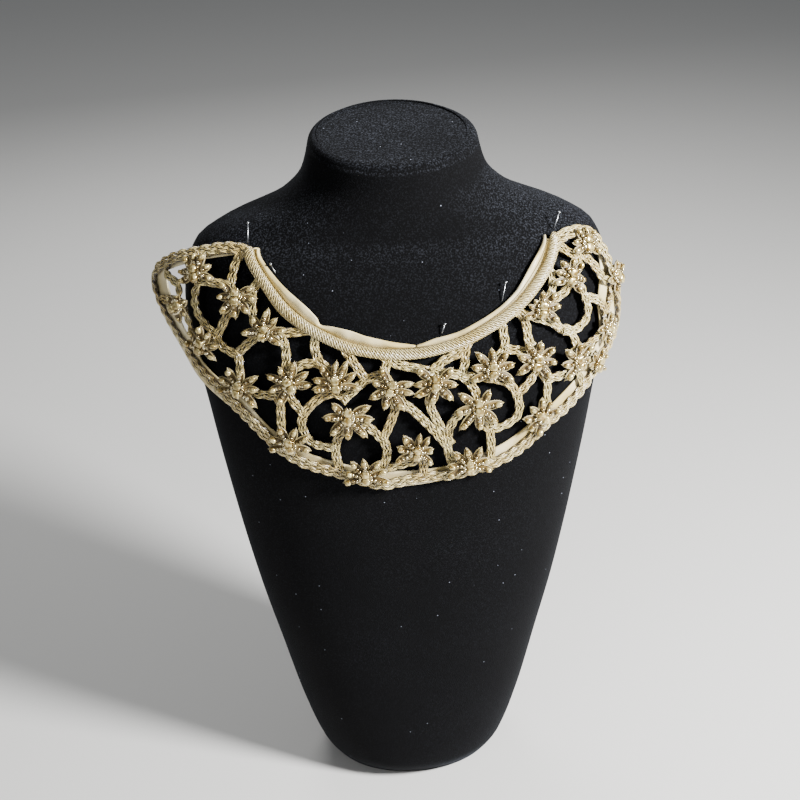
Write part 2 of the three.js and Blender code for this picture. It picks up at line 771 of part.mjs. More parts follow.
const neckBraid = braid(NECK_PATH, NECK_BRAID_WIDTH, LAYER.neck);
addPiece(collar, 'neck_braid', fromManifold(neckBraid), FINISHES.braid);

const edgeBraid = braid(EDGE_PATH, EDGE_BRAID_WIDTH, LAYER.edge)
  .subtract(neckRoom).subtract(satinRoom);
addPiece(collar, 'edge_braid', fromManifold(edgeBraid), FINISHES.braid);

const vineNet = VINES
  .map((path) => braid(path, VINE_WIDTH, LAYER.vine, { flat: true }))
  .reduce((sum, vine) => sum.add(vine))
  .subtract(neckRoom).subtract(edgeRoom).subtract(satinRoom);
const SMALLEST_VINE = 20;
separateBodies(fromManifold(vineNet))
  .filter((body) => volumeOf(body) > SMALLEST_VINE)
  .forEach((body, i) => addPiece(collar, `vine_net_${i + 1}`, body, FINISHES.braid));

SPRIGS.forEach((_, i) => {
  const name = `sprig_${String(i + 1).padStart(2, '0')}`;
  addPiece(collar, name, sprigSolid(i), FINISHES.leaf);
});

PINS.forEach((pin, i) => addPiece(pins, `pin_${i + 1}`, pinSolid(pin), FINISHES.pin));

export default part;
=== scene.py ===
# %% [markdown]
# # A beaded openwork collar on a velvet bust
#
# The real piece is a yoke collar: plaited silk braid sewn into loops and struts between a rope
# cord at the neck and a braid round the edge, on strips of ivory satin, with leaf sprigs of
# thread and glass beads. It is pinned on a black velvet bust. The solids of that collar come
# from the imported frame. This lesson builds what the eye sees over them, piece by piece.

import bpy
import numpy as np
from mathutils import Matrix, Vector


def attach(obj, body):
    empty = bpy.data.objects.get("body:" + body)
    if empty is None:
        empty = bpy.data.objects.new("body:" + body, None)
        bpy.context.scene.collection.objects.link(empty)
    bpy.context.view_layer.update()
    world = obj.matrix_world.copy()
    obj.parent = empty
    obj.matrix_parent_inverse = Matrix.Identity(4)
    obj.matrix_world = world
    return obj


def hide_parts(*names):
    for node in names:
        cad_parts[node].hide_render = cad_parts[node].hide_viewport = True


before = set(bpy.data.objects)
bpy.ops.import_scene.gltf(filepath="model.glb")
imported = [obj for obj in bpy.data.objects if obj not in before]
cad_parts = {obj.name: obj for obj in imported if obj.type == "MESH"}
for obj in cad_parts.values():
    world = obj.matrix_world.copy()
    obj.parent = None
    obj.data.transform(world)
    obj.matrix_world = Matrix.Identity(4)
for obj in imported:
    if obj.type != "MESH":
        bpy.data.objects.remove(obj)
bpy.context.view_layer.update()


MM = 0.001
chance = np.random.default_rng(11)

# %% [markdown]
# ## The tables that shape everything
#
# Bust and collar follow short tables in millimetres, the same ones that the solids were made
# from. A smooth line through a table's column gives the size at any height or place. It is a
# monotone cubic, which never bulges past the numbers measured.

# %% Table: sections of the bust
# height, half width, half depth, middle in y, squareness
BUST = np.array([
    [0, 66, 50, -6, 2.1],
    [20, 76, 61, -6, 2.1],
    [60, 87.5, 65, -5, 2.2],
    [120, 100, 68, -4.5, 2.3],
    [180, 112, 70.5, -4, 2.4],
    [240, 122, 73, -3, 2.4],
    [300, 130, 76, -2, 2.5],
    [340, 135, 77.5, -1, 2.5],
    [370, 140, 75, 2, 2.4],
    [400, 142, 68, 5, 2.3],
    [420, 139, 62, 6, 2.2],
    [438, 131, 55.5, 7, 2.1],
    [450, 113, 51, 8, 2],
    [465, 76, 49, 8, 2],
    [480, 60, 47, 8, 2],
    [503, 53, 46, 8, 2],
])

# %% Table: the collar's map on the bust
# u, neck angle, neck height, outer angle, outer height, how far the outer edge stands off
COLLAR = np.array([
    [-110, -52, 454, -90, 430, 18],
    [-100, -47, 445, -88, 418, 18],
    [-80, -37, 428, -84, 397, 15],
    [-60, -27.5, 410, -79, 362, 4],
    [-40, -18, 397, -51, 341, 0],
    [-20, -9, 388.5, -26, 309, 0],
    [0, 0, 385, -3, 292, 0],
    [20, 9, 388.5, 22, 303, 0],
    [40, 18, 397, 47, 332, 0],
    [60, 27.5, 409, 64, 351, 1],
    [80, 37.3, 425.5, 79, 376, 5],
    [100, 47.3, 442, 79, 422, 4],
    [110, 54, 451, 79, 436, 3],
])


# %% Helper: a smooth line through a table
def smooth_line(rows, column):
    """Cubic Hermite pieces through the table, with harmonic mean slopes, straight past the ends."""
    x, y = rows[:, 0], rows[:, column]
    gap = np.diff(x)
    slope = np.diff(y) / gap
    before = 2 * gap[1:] + gap[:-1]
    after = gap[1:] + 2 * gap[:-1]
    inner = np.zeros(len(x) - 2)
    same = slope[:-1] * slope[1:] > 0
    inner[same] = ((before + after)[same]
                   / (before[same] / slope[:-1][same] + after[same] / slope[1:][same]))
    tangent = np.concatenate([slope[:1], inner, slope[-1:]])

    def at(value):
        value = np.asarray(value, float)
        i = np.clip(np.searchsorted(x, value) - 1, 0, len(x) - 2)
        t = (np.clip(value, x[0], x[-1]) - x[i]) / gap[i]
        curve = (y[i] * (2 * t**3 - 3 * t**2 + 1) + gap[i] * tangent[i] * (t**3 - 2 * t**2 + t)
                 + y[i + 1] * (3 * t**2 - 2 * t**3) + gap[i] * tangent[i + 1] * (t**3 - t**2))
        ends = tangent[0] * np.minimum(value - x[0], 0) + tangent[-1] * np.maximum(value - x[-1], 0)
        return curve + ends

    return at


# %% The bust's skin as a function of angle and height
half_width, half_depth, middle_y, squareness = (smooth_line(BUST, column) for column in range(1, 5))


def unit(vectors):
    """Vectors divided by their length."""
    return vectors / np.linalg.norm(vectors, axis=-1, keepdims=True)


def full_turn(count):
    """So many even steps round a circle, from angle 0, in radians."""
    return np.linspace(0, 2 * np.pi, count, endpoint=False)


def points_of(*columns):
    """Arrays or single numbers put side by side, as the columns of a grid of points."""
    return np.stack(np.broadcast_arrays(*columns), -1)


def bust_skin(angle, z):
    """x = half width * sin(angle)^p and y = middle - half depth * cos(angle)^p, signs kept, with
    p = 2 / squareness: an ellipse at squareness 2, and squarer above it. Angle 0 is the front."""
    power = 2 / squareness(z)
    side, front = np.sin(angle), np.cos(angle)
    x = half_width(z) * np.sign(side) * np.abs(side) ** power
    y = middle_y(z) - half_depth(z) * np.sign(front) * np.abs(front) ** power
    return points_of(x, y, z)


def bust_normal(angle, z):
    """The cross product of a small step round the section and a small step up."""
    around = bust_skin(angle + 0.01, z) - bust_skin(angle - 0.01, z)
    up = bust_skin(angle, z + 1) - bust_skin(angle, z - 1)
    return unit(np.cross(around, up))


# %% The collar's map: u along the neck, v from neck to edge
neck_angle, neck_height, outer_angle, outer_height, stand_off = (
    smooth_line(COLLAR, column) for column in range(1, 6)
)


def collar_site(u, v):
    """Angle and height are mixed from the neck line to the outer line by v / 100. The cloth
    stands off the bust by the edge's stand-off times that share squared."""
    u, v = np.broadcast_arrays(u, v)
    share = v / 100
    angle = np.radians(neck_angle(u) + (outer_angle(u) - neck_angle(u)) * share)
    z = neck_height(u) + (outer_height(u) - neck_height(u)) * share
    normal = bust_normal(angle, z)
    lift = np.maximum(stand_off(u), 0) * share**2
    return bust_skin(angle, z) + normal * lift[..., None], normal


def collar_point(u, v, height):
    """A place on the collar's map, raised by height along the bust's normal."""
    skin, normal = collar_site(u, v)
    return skin + normal * np.asarray(height, float)[..., None]


front_depth = np.linalg.norm(collar_point(0, 0, 0.0) - collar_point(0, 100, 0.0))
print("collar front depth, mm:", front_depth)


# %% [markdown]
# ## Meshes from grids of points
#
# Every piece here is a grid: rings of points joined by quads. Cords, beads, leaves and cloth
# walls all close round on themselves, so one helper makes them all. It checks the volume's sign,
# so that faces point outwards, and it writes a map of the distance along in centimetres and the
# share around, which the thread patterns follow.

# %% Helper: one closed skin from rings of points
def closed_skin(points, along=None, slot=0, hoop=False):
    """Quads between ring i and i + 1 and point j and j + 1. The ends get one many-sided face
    each, or with hoop the last ring joins the first."""
    rings, sides = points.shape[:2]
    along = np.arange(rings) * 0.1 if along is None else along
    last = rings if hoop else rings - 1
    i, j = (a.ravel() for a in np.meshgrid(np.arange(last), np.arange(sides), indexing="ij"))
    i2, j2 = (i + 1) % rings, (j + 1) % sides
    quads = np.stack([i * sides + j, i2 * sides + j, i2 * sides + j2, i * sides + j2], -1)
    far = np.where(i2 > i, along[i2], along[i] + 0.1)
    u = np.stack([along[i], far, far, along[i]], -1)
    v = np.stack([j, j, j + 1, j + 1], -1) / sides
    faces = [quads.ravel()]
    sizes = [np.full(len(quads), 4)]
    maps = [np.stack([u, v], -1).reshape(-1, 2)]
    if not hoop:
        start = np.arange(sides)
        end = start[::-1] + (rings - 1) * sides
        turn = full_turn(sides)
        disc = 0.5 + 0.5 * np.stack([np.cos(turn), np.sin(turn)], -1)
        faces += [start, end]
        sizes += [np.array([sides, sides])]
        maps += [disc, disc]
    loops, sizes, maps = (np.concatenate(parts) for parts in (faces, sizes, maps))
    flat = points.reshape(-1, 3)
    if skin_volume(flat, loops, sizes) < 0:
        loops, sizes, maps = loops[::-1], sizes[::-1], maps[::-1]
    return {"points": flat, "loops": loops, "sizes": sizes, "maps": maps, "slot": slot}


def skin_volume(points, loops, sizes):
    """Sum of a . (b x c) / 6 over the fans of triangles that fill each face."""
    starts = np.cumsum(sizes) - sizes
    total = 0.0
    for size in np.unique(sizes):
        corners = points[loops[starts[sizes == size][:, None] + np.arange(size)]]
        corners = corners - points.mean(0)
        for k in range(1, size - 1):
            total += np.einsum("ij,ij->", corners[:, 0],
                               np.cross(corners[:, k], corners[:, k + 1])) / 6
    return total


# %% Helpers: gather skins into one finished piece
def new_object(name, data):
    """An object with this name and data, linked to the scene."""
    thing = bpy.data.objects.new(name, data)
    bpy.context.scene.collection.objects.link(thing)
    return thing


def make_piece(name, skins, materials, stands_for):
    """Puts the skins' points, faces, map and material numbers into one smooth mesh in metres,
    which rides on the root and hides the one solid that it stands for."""
    offsets = np.cumsum([0] + [len(s["points"]) for s in skins[:-1]])
    points = np.concatenate([s["points"] for s in skins]) * MM
    loops = np.concatenate([s["loops"] + o for s, o in zip(skins, offsets)])
    sizes = np.concatenate([s["sizes"] for s in skins])
    maps = np.concatenate([s["maps"] for s in skins])
    slots = np.concatenate([np.full(len(s["sizes"]), s["slot"]) for s in skins])
    mesh = bpy.data.meshes.new(name)
    mesh.vertices.add(len(points))
    mesh.vertices.foreach_set("co", points.astype(np.float32).ravel())
    mesh.loops.add(len(loops))
    mesh.loops.foreach_set("vertex_index", loops.astype(np.int32))
    mesh.polygons.add(len(sizes))
    mesh.polygons.foreach_set("loop_start", (np.cumsum(sizes) - sizes).astype(np.int32))
    mesh.uv_layers.new(name="Thread")
    mesh.uv_layers["Thread"].data.foreach_set("uv", maps.astype(np.float32).ravel())
    mesh.polygons.foreach_set("material_index", slots.astype(np.int32))
    mesh.update(calc_edges=True)
    mesh.validate()
    mesh.shade_smooth()
    for material in materials:
        mesh.materials.append(material)
    thing = new_object(name, mesh)
    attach(thing, "root")
    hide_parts(stands_for)
    print(f"{name}: {int((sizes - 2).sum())} triangles")
    return thing


# %% Helper: an ellipse carried along a path
UP, SIDEWAYS = np.array([0.0, 0.0, 1.0]), np.array([0.0, 1.0, 0.0])


def swept(centre, across, up, half_wide, half_high, sides):
    """Ring points = centre + across * half wide * cos(turn) + up * half high * sin(turn)."""
    across, up = np.broadcast_to(across, centre.shape), np.broadcast_to(up, centre.shape)
    turn = full_turn(sides)
    wide = np.broadcast_to(half_wide, len(centre))[:, None, None] * np.cos(turn)[:, None]
    high = np.broadcast_to(half_high, len(centre))[:, None, None] * np.sin(turn)[:, None]
    return centre[:, None] + across[:, None] * wide + up[:, None] * high


# %% [markdown]
# ## Materials
#
# The collar is silk, so its threads shine along their length, and the shade between them is
# painted into their colour. The bust is cotton velvet, whose pile swallows light head on and glows
# a little at grazing angles.
# Each material starts from the real stuff, and its pattern is set by a real size.

# %% Helpers: colours and nodes
def tint(code):
    """A hex colour, as seen on a screen, turned to the linear values that shaders use."""
    value = np.array([int(code[k:k + 2], 16) for k in (1, 3, 5)]) / 255
    linear = np.where(value <= 0.04045, value / 12.92, ((value + 0.055) / 1.055) ** 2.4)
    return (*[float(x) for x in linear], 1.0)


def node(tree, kind, links=None, **settings):
    """Adds one shader node. Settings are its properties, and links its input values, or sockets
    that feed them. A node among the links stands for its first output."""
    made = tree.nodes.new("ShaderNode" + kind)
    for name, value in settings.items():
        setattr(made, name, value)
    for name, value in (links or {}).items():
        value = value.outputs[0] if isinstance(value, bpy.types.Node) else value
        if isinstance(value, bpy.types.NodeSocket):
            tree.links.new(value, made.inputs[name])
        else:
            made.inputs[name].default_value = value
    return made


def new_finish(name, **values):
    """A material with its shader's own values set. Gives it, its node tree and its shader."""
    material = bpy.data.materials.new(name)
    material.use_nodes = True
    tree = material.node_tree
    shader = tree.nodes["Principled BSDF"]
    for key, value in values.items():
        shader.inputs[key.replace("_", " ")].default_value = value
    return material, tree, shader


def two_tone(tree, noise, low, high, first, second):
    """A soft mottle: the noise's share between low and high mixes the first colour into the
    second."""
    share = node(tree, "MapRange", {"Value": noise, "From Min": low, "From Max": high})
    return node(tree, "Mix", {"Factor": share, "A": tint(first), "B": tint(second)},
                data_type="RGBA").outputs[2]


# %% Helper: threads that run along a cord
def threaded_silk(name, light, painted_shade_colour, threads, twist_cm, depth_mm, roughness=0.25):
    """Silk floss laid side by side: the pattern is a sine of the share around a strand times the
    number of threads, leaning as the strand twists. Painted shade: the sides and underside of a
    strand, where it tucks under the next, and the grooves between threads are painted brown, and
    its top is painted bright, as painted light from above."""
    material, tree, shader = new_finish(
        name, Roughness=roughness, Sheen_Weight=0.3, Sheen_Roughness=0.4,
        Sheen_Tint=tint("#fff4d8"), Specular_IOR_Level=1.0,
        Coat_Weight=0.35, Coat_Roughness=0.22,
    )
    place = node(tree, "UVMap", uv_map="Thread")
    axes = node(tree, "SeparateXYZ", {0: place})
    lean = node(tree, "Math", {0: axes.outputs[0], 1: 1 / twist_cm}, operation="MULTIPLY")
    around = node(tree, "Math", {0: axes.outputs[1], 1: lean})
    count = node(tree, "Math", {0: around, 1: threads * 2 * np.pi}, operation="MULTIPLY")
    wave = node(tree, "Math", {0: count}, operation="SINE")
    where = node(tree, "TexCoord").outputs["Object"]
    fuzz = node(tree, "TexNoise", {"Vector": where, "Scale": 900.0, "Detail": 3.0})
    # Painted light and shade: each strand's upper side is painted bright, and its sides, underside
    # and thread grooves dark brown.
    turn = node(tree, "Math", {0: axes.outputs[1], 1: 2 * np.pi}, operation="MULTIPLY")
    top = node(tree, "Math", {0: turn}, operation="SINE")
    mixed = node(tree, "Math", {0: wave, 1: fuzz})
    raised = node(tree, "Math", {0: top, 1: 2.2, 2: mixed}, operation="MULTIPLY_ADD")
    share = node(tree, "MapRange", {"Value": raised, "From Min": 1.45, "From Max": 3.1})
    patches = node(tree, "TexNoise", {"Vector": where, "Scale": 60.0, "Detail": 2.0})
    faded = two_tone(tree, patches, 0.35, 0.7, *light)
    colour = node(tree, "Mix", {"Factor": share, "A": tint(painted_shade_colour), "B": faded},
                  data_type="RGBA")
    tree.links.new(colour.outputs[2], shader.inputs["Base Color"])
    bump = node(tree, "Bump", {"Height": mixed, "Distance": depth_mm * MM, "Strength": 1.0})
    tree.links.new(bump.outputs[0], shader.inputs["Normal"])
    return material


# %% Finish: plaited silk of the vines and the edge
# A thread of silk floss is about 0.4 mm. Four or five go round a strand here, so each is drawn
# about 1 mm wide, as coarse as it needs to be to show: painted light on the top of each strand,
# and painted shade, in brown, on its sides and in the grooves.
vine_silk = threaded_silk("plaited silk floss, old ivory", ("#e0c370", "#fae89c"), "#38250a",
                          threads=4, twist_cm=2.4, depth_mm=0.16)
edge_silk = threaded_silk("plaited silk floss, edge braid", ("#dec172", "#f8e59c"), "#38250a",
                          threads=5, twist_cm=2.0, depth_mm=0.16)
neck_silk = threaded_silk("laid silk cord", ("#e3cb80", "#f9e9ae"), "#4f3810",
                          threads=4, twist_cm=1.2, depth_mm=0.12)
leaf_thread = threaded_silk("leaf edging thread", ("#cbb470", "#ebda98"), "#422e0c",
                            threads=5, twist_cm=0.6, depth_mm=0.08, roughness=0.38)


# %% Finish: silk satin, woven with long floats so it shines like water
def silk_satin(name, light, shade, roughness):
    """Satin weave: floats about 1.4 mm long and 0.2 mm apart, drawn a little coarse so that they
    show, and broad soft patches where the cloth has yellowed."""
    material, tree, shader = new_finish(
        name, Roughness=roughness, Sheen_Weight=0.25, Sheen_Tint=tint("#fff8e6"),
        Specular_IOR_Level=0.6, Anisotropic=0.5,
    )
    where = node(tree, "TexCoord").outputs["Object"]
    stretched = node(tree, "Mapping", {"Vector": where, "Scale": (1.0, 1.0, 9.0)})
    floats = node(tree, "TexNoise", {"Vector": stretched, "Scale": 700.0, "Detail": 2.0})
    age = node(tree, "TexNoise", {"Vector": where, "Scale": 35.0, "Detail": 3.0})
    tree.links.new(two_tone(tree, age, 0.35, 0.68, shade, light), shader.inputs["Base Color"])
    bump = node(tree, "Bump", {"Height": floats, "Distance": 0.06 * MM, "Strength": 0.6})
    tree.links.new(bump.outputs[0], shader.inputs["Normal"])
    return material


ground_satin = silk_satin("ivory silk satin", "#f4e7be", "#d0ba78", 0.28)
leaf_satin = silk_satin("leaf satin", "#7d6838", "#523f1b", 0.5)

# %% Finish: cotton velvet on the bust
# Black pile about 1.5 mm deep: no shine head on, a cool glow at grazing angles, and sparse lint.
# The specks are partly dust and partly painted glints of pile tufts catching the light, painted
# stronger the more the surface faces up, towards the light.
velvet, tree, shader = new_finish(
    "black cotton velvet", Roughness=0.95, Sheen_Weight=0.08, Sheen_Roughness=0.3,
    Sheen_Tint=tint("#9aa2b4"), Specular_IOR_Level=0.1,
)
where = node(tree, "TexCoord").outputs["Object"]
pile = node(tree, "TexNoise", {"Vector": where, "Scale": 1400.0, "Detail": 3.0})
brushed = node(tree, "TexNoise", {"Vector": where, "Scale": 14.0, "Detail": 4.0})
nap = node(tree, "MapRange",
           {"Value": brushed, "From Min": 0.35, "From Max": 0.7, "To Min": 0.35})
tufts = node(tree, "TexNoise", {"Vector": where, "Scale": 950.0, "Detail": 1.0})
caught = node(tree, "MapRange", {"Value": tufts, "From Min": 0.48, "From Max": 0.74})
# Painted light: glint specks, partly dust, grow on faces that point up, towards the light.
facing_up = node(tree, "SeparateXYZ", {0: node(tree, "NewGeometry").outputs["Normal"]})
faces_up_light_and_dust = node(tree, "MapRange",
               {"Value": facing_up.outputs[2], "From Min": 0.3, "From Max": 0.95,
                "To Min": 0.12})
specks = node(tree, "Math", {0: nap, 1: caught}, operation="MULTIPLY")
glint = node(tree, "Math", {0: specks, 1: faces_up_light_and_dust}, operation="MULTIPLY")
black = node(tree, "Mix", {"Factor": glint, "A": tint("#040405"), "B": tint("#41444c")},
             data_type="RGBA")
dust = node(tree, "TexVoronoi", {"Vector": where, "Scale": 230.0, "Randomness": 1.0})
speck = node(tree, "MapRange", {"Value": dust, "From Min": 0.1, "From Max": 0.06})
rare = node(tree, "SeparateColor", {0: dust.outputs["Color"]})
chosen = node(tree, "Math", {0: rare, 1: 0.93}, operation="GREATER_THAN")
lint = node(tree, "Math", {0: speck, 1: chosen}, operation="MULTIPLY")
lint_and_painted_glints = node(tree, "Mix", {"Factor": lint, "A": black.outputs[2], "B": tint("#8d92a0")},
             data_type="RGBA")
tree.links.new(lint_and_painted_glints.outputs[2], shader.inputs["Base Color"])
bump = node(tree, "Bump", {"Height": pile, "Distance": 0.3 * MM, "Strength": 0.7})
tree.links.new(bump.outputs[0], shader.inputs["Normal"])


# %% Finish: glass beads and steel
def bead_glass(name, light, deep, roughness, metallic):
    """Glass lined with silver or pearl: the lining shines through, so it is part metal."""
    material, tree, shader = new_finish(
        name, Roughness=roughness, Metallic=metallic, Coat_Weight=0.6, Coat_Roughness=0.08,
    )
    where = node(tree, "TexCoord").outputs["Object"]
    mottle = node(tree, "TexNoise", {"Vector": where, "Scale": 420.0, "Detail": 2.0})
    tree.links.new(two_tone(tree, mottle, 0.38, 0.62, deep, light), shader.inputs["Base Color"])
    return material


seed_glass = bead_glass("silver lined seed bead", "#f4e9c2", "#8f7641", 0.1, 0.88)
pearl_glass = bead_glass("pressed pearl bead", "#ead99a", "#8f7438", 0.18, 0.55)
pin_steel, tree, shader = new_finish("polished steel pin", Roughness=0.32, Metallic=1.0)
where = node(tree, "TexCoord").outputs["Object"]
wear = node(tree, "TexNoise", {"Vector": where, "Scale": 800.0})
steel = node(tree, "Mix", {"Factor": wear, "A": tint("#84878b"), "B": tint("#b2b5b8")},
             data_type="RGBA")
tree.links.new(steel.outputs[2], shader.inputs["Base Color"])

# %% [markdown]
# ## The bust
#
# A display bust is a hard hollow form with velvet stretched over it. Here it is a loft: 160
# points round each of 160 sections, close enough together that its outline stays round. The
# neck top slants down to the front, and both rims are rolled over with quarter rounds. A thin
# ring marks the seam where the top panel is sewn in.

# %% The bust as one loft
NECK_TOP, TOP_SLANT, SLANT_FROM = 503.0, 0.19, 462.0
RIM, ROUND_POINTS, SIDE_SECTIONS, RIM_SECTIONS = 4.0, 160, 132, 8
# Both ends close in steps: how much of the last section's size each step keeps
CAP_STEPS = np.array([0.95, 0.8, 0.6, 0.4, 0.2, 0.03])[:, None, None]
SEAM_INSET, SEAM_HALF_WIDE, SEAM_HALF_HIGH = 5.2, 0.9, 0.4


def bust_rings():
    """Heights run up the side. At each rim the section is drawn in by r * (1 - cos) while the
    height goes the last r * sin, and the slant adds 0.19 * (y - middle) near the top."""
    roll = np.radians(np.linspace(0, 90, RIM_SECTIONS))
    up, inward = RIM * np.sin(roll), RIM * (1 - np.cos(roll))
    side = np.linspace(RIM, NECK_TOP - RIM, SIDE_SECTIONS)
    z = np.concatenate([RIM - up[::-1], side, NECK_TOP - RIM + up])
    inset = np.concatenate([inward[::-1], side * 0, inward])
    points = bust_skin(full_turn(ROUND_POINTS)[None, :], z[:, None])
    middle = points_of(0.0, middle_y(z)[:, None], z[:, None])
    rim = points - middle
    points = middle + rim * (1 - inset[:, None, None] / np.linalg.norm(rim, axis=-1, keepdims=True))
    share = np.clip((z - SLANT_FROM) / (NECK_TOP - SLANT_FROM), 0, 1)
    share = (share**2 * (3 - 2 * share))[:, None]
    points[..., 2] += TOP_SLANT * share * (points[..., 1] - middle[..., 1])
    base, top = (points[end].mean(0) + (points[end] - points[end].mean(0)) * CAP_STEPS
                 for end in (0, -1))
    return np.concatenate([base[::-1], points, top])


def seam_ring():
    """An ellipse carried round the neck's slanted top, a little way in from its edge."""
    section = bust_skin(full_turn(ROUND_POINTS), NECK_TOP)
    middle = np.array([0.0, middle_y(NECK_TOP), NECK_TOP])
    out = unit(section - middle)
    centre = section - out * SEAM_INSET
    centre[:, 2] += TOP_SLANT * (section[:, 1] - middle[1])
    return swept(centre, out, UP, SEAM_HALF_WIDE, SEAM_HALF_HIGH, 10)


make_piece("velvet_bust", [closed_skin(bust_rings()), closed_skin(seam_ring(), hoop=True)],
           [velvet], "display_bust")


# %% [markdown]
# ## Braids
#
# The braid is a flat plait of seven strands of silk floss that swap places. Seen from above,
# each strand sways from side to side, nearly as a sine. It goes over and under the other six in
# each sway, so its height is a sine at six times the rate. Seven copies, a seventh of a turn
# apart, make the plait, with the small dark slits between them that real braid has.

# %% Helper: a path on the collar with even steps
def even_path(points, step):
    """A Catmull-Rom curve through the points, given as u, v, u, v and so on, walked again in steps
    of equal length. Gives u, v and the distance along in mm."""
    p = np.reshape(points, (-1, 2)).astype(float)
    p = np.concatenate([p[:1], p, p[-1:]])
    t = np.linspace(0, 1, 24, endpoint=False)[:, None]
    spans = [0.5 * (2 * b + (c - a) * t + (2 * a - 5 * b + 4 * c - d) * t**2
                    + (3 * b - a - 3 * c + d) * t**3)
             for a, b, c, d in zip(p[:-3], p[1:-2], p[2:-1], p[3:])]
    line = np.concatenate([*spans, p[-1:]])
    skin = collar_site(line[:, 0], line[:, 1])[0]
    walked = np.concatenate([[0], np.cumsum(np.linalg.norm(np.diff(skin, axis=0), axis=1))])
    along = np.linspace(0, walked[-1], max(3, int(walked[-1] / step) + 1))
    return np.interp(along, walked, line[:, 0]), np.interp(along, walked, line[:, 1]), along


def path_frame(u, v):
    """Skin points with the direction across the path and the normal, from cross products."""
    skin, normal = collar_site(u, v)
    forward = unit(np.gradient(skin, axis=0))
    across = unit(np.cross(forward, normal))
    return skin, across, normal


# %% Helper: a seven strand plait
STRANDS, PLAIT_STEP = 7, 0.9
# A strand's half width as a share of the band's width, and half height of the band's height
WIDE_SHARE, HIGH_SHARE = 0.13, 0.27
# How firmly each sway is held at the band's sides: 0 is a plain sine, and more is flatter
HELD = 0.6


def plait(points, width, low, high, sway_mm, rise=0.0, start=0.0, sides=6):
    """Strand k sways by A * tanh(h * sin(t)) / tanh(h), with t one turn for each sway plus k
    sevenths of a turn, and bobs by B * sin(6t). The tanh keeps strands longer at the sides, as
    a tight plait does. Each strand is an ellipse that turns with its own direction."""
    u, v, along = even_path(points, PLAIT_STEP)
    skin, across, normal = path_frame(u, v)
    strand_wide, strand_high = width * WIDE_SHARE, (high - low) * HIGH_SHARE
    sway, bob = width / 2 - strand_wide, (high - low) / 2 - strand_high
    skins = []
    for k in range(STRANDS):
        t = 2 * np.pi * (along / sway_mm + k / STRANDS + start)
        height = (low + high) / 2 + rise + bob * np.sin((STRANDS - 1) * t)
        side = sway * np.tanh(HELD * np.sin(t)) / np.tanh(HELD)
        centre = skin + across * side[:, None] + normal * height[:, None]
        forward = unit(np.gradient(centre, axis=0))
        sideways = unit(np.cross(forward, normal))
        up = np.cross(sideways, forward)
        rings = swept(centre, sideways, up, strand_wide, strand_high, sides)
        skins.append(closed_skin(rings, along / 10))
    return skins


# %% [markdown]
# ## The vines
#
# Lengths of plaited braid run from junction to junction. Their routes are rows of points on
# the collar's map. Each one gets its own height, a hair above or below the next, as
# hand-laid braids do where they cross, and its own starting point in the plait.

# %% Routes of the vines
# u, v of one point after another
VINES = [
    [-94, 45, -88, 47, -80, 54, -72, 54, -63, 46],
    [-88, 47, -86, 38, -81, 22],
    [-98, 3, -94, 11, -81, 22, -74, 24],
    [-74, 22, -69, 32, -63, 46, -61, 62],
    [-63, 46, -57, 47, -51, 46, -45, 62],
    [-52, 46, -54, 30, -56, 15],
    [-102.5, 78, -96, 80, -88, 68, -80.5, 70],
    [-80.5, 70, -75, 66, -67, 67, -62, 64],
    [-80, 2, -74, 11, -60, 19, -56, 15],
    [-57, 15, -51, 12, -46, 2],
    [-52, 13, -45, 20, -40, 30, -36, 40],
    [-41, 2, -38, 9, -32, 17, -26, 20],
    [-36, 40, -36, 29, -32, 20, -26, 20],
    [-45, 62, -42, 72, -34, 59, -30, 72, -27, 92],
    [-36, 40, -31, 52, -25, 58],
    [-15, 37, -20, 34, -24, 42, -25.5, 58, -24, 69, -20, 77, -14, 74],
    [-17, 38, -12, 20, -6, 15, -2, 25],
    [-27, 2, -20, 9, -12, 19],
    [-6, 2, -6, 16],
    [-12, 50, -7, 51, -2, 64, -2, 82, -4, 94],
    [-12, 50, -14, 62, -14, 76, -11, 94],
    [-2, 25, -1, 38, -3, 61],
    [-1, 27, 2, 38, 6, 54, 9, 70],
    [7, 22, 6, 36, 8, 54, 10, 70],
    [-9, 2, -4, 6, 8, 14, 18, 21],
    [8, 14, 14, 9, 22, 7, 29, 2],
    [11, 16, 18, 23, 20, 36, 18, 48],
    [18, 22, 24, 28, 30, 41, 30, 58, 27, 69, 20, 66, 18, 50],
    [25, 2, 23, 10, 18, 22],
    [47, 2, 43, 9, 37, 20, 30, 22],
    [37, 20, 42, 30, 46, 38],
    [57, 2, 53, 14, 47, 26, 46, 38],
    [46, 38, 38, 50, 30, 54],
    [46, 38, 41, 50, 40, 62, 36, 76, 33, 92],
    [40, 60, 48, 70, 57, 77, 62, 92],
    [18, 48, 13, 48, 10, 57, 9, 72, 10, 94],
    [18, 48, 20, 64, 18, 94],
    [-6, 86, -2, 84, 3, 78, 3, 67],
    [3, 67, 4, 80, 4, 92],
    [54, 2, 57, 14, 60, 28, 60, 38],
    [60, 38, 62, 44, 59, 58, 54, 62, 52, 76, 50, 94],
    [84, 24, 78, 37, 71, 49, 64, 48, 60, 40],
    [82, 2, 79, 9, 72, 14, 66, 14],
    [84, 24, 77, 23, 70, 19, 66, 14],
    [66, 14, 62, 24, 60, 38],
    [97, 4, 94, 14, 93, 26, 96, 36],
    [84, 24, 89, 29, 94, 28],
    [94, 30, 92, 46, 88, 62, 90, 74, 91, 82],
    [77, 39, 79, 54, 77, 66, 72, 76, 70, 94],
    [56, 62, 62, 68, 72, 76],
    [77, 68, 83, 74, 90, 76],
    [96, 36, 98, 44, 104, 50],
    [-94, 45, -99, 46, -103, 48],
    [-80.5, 70, -82, 82, -83, 94],
]

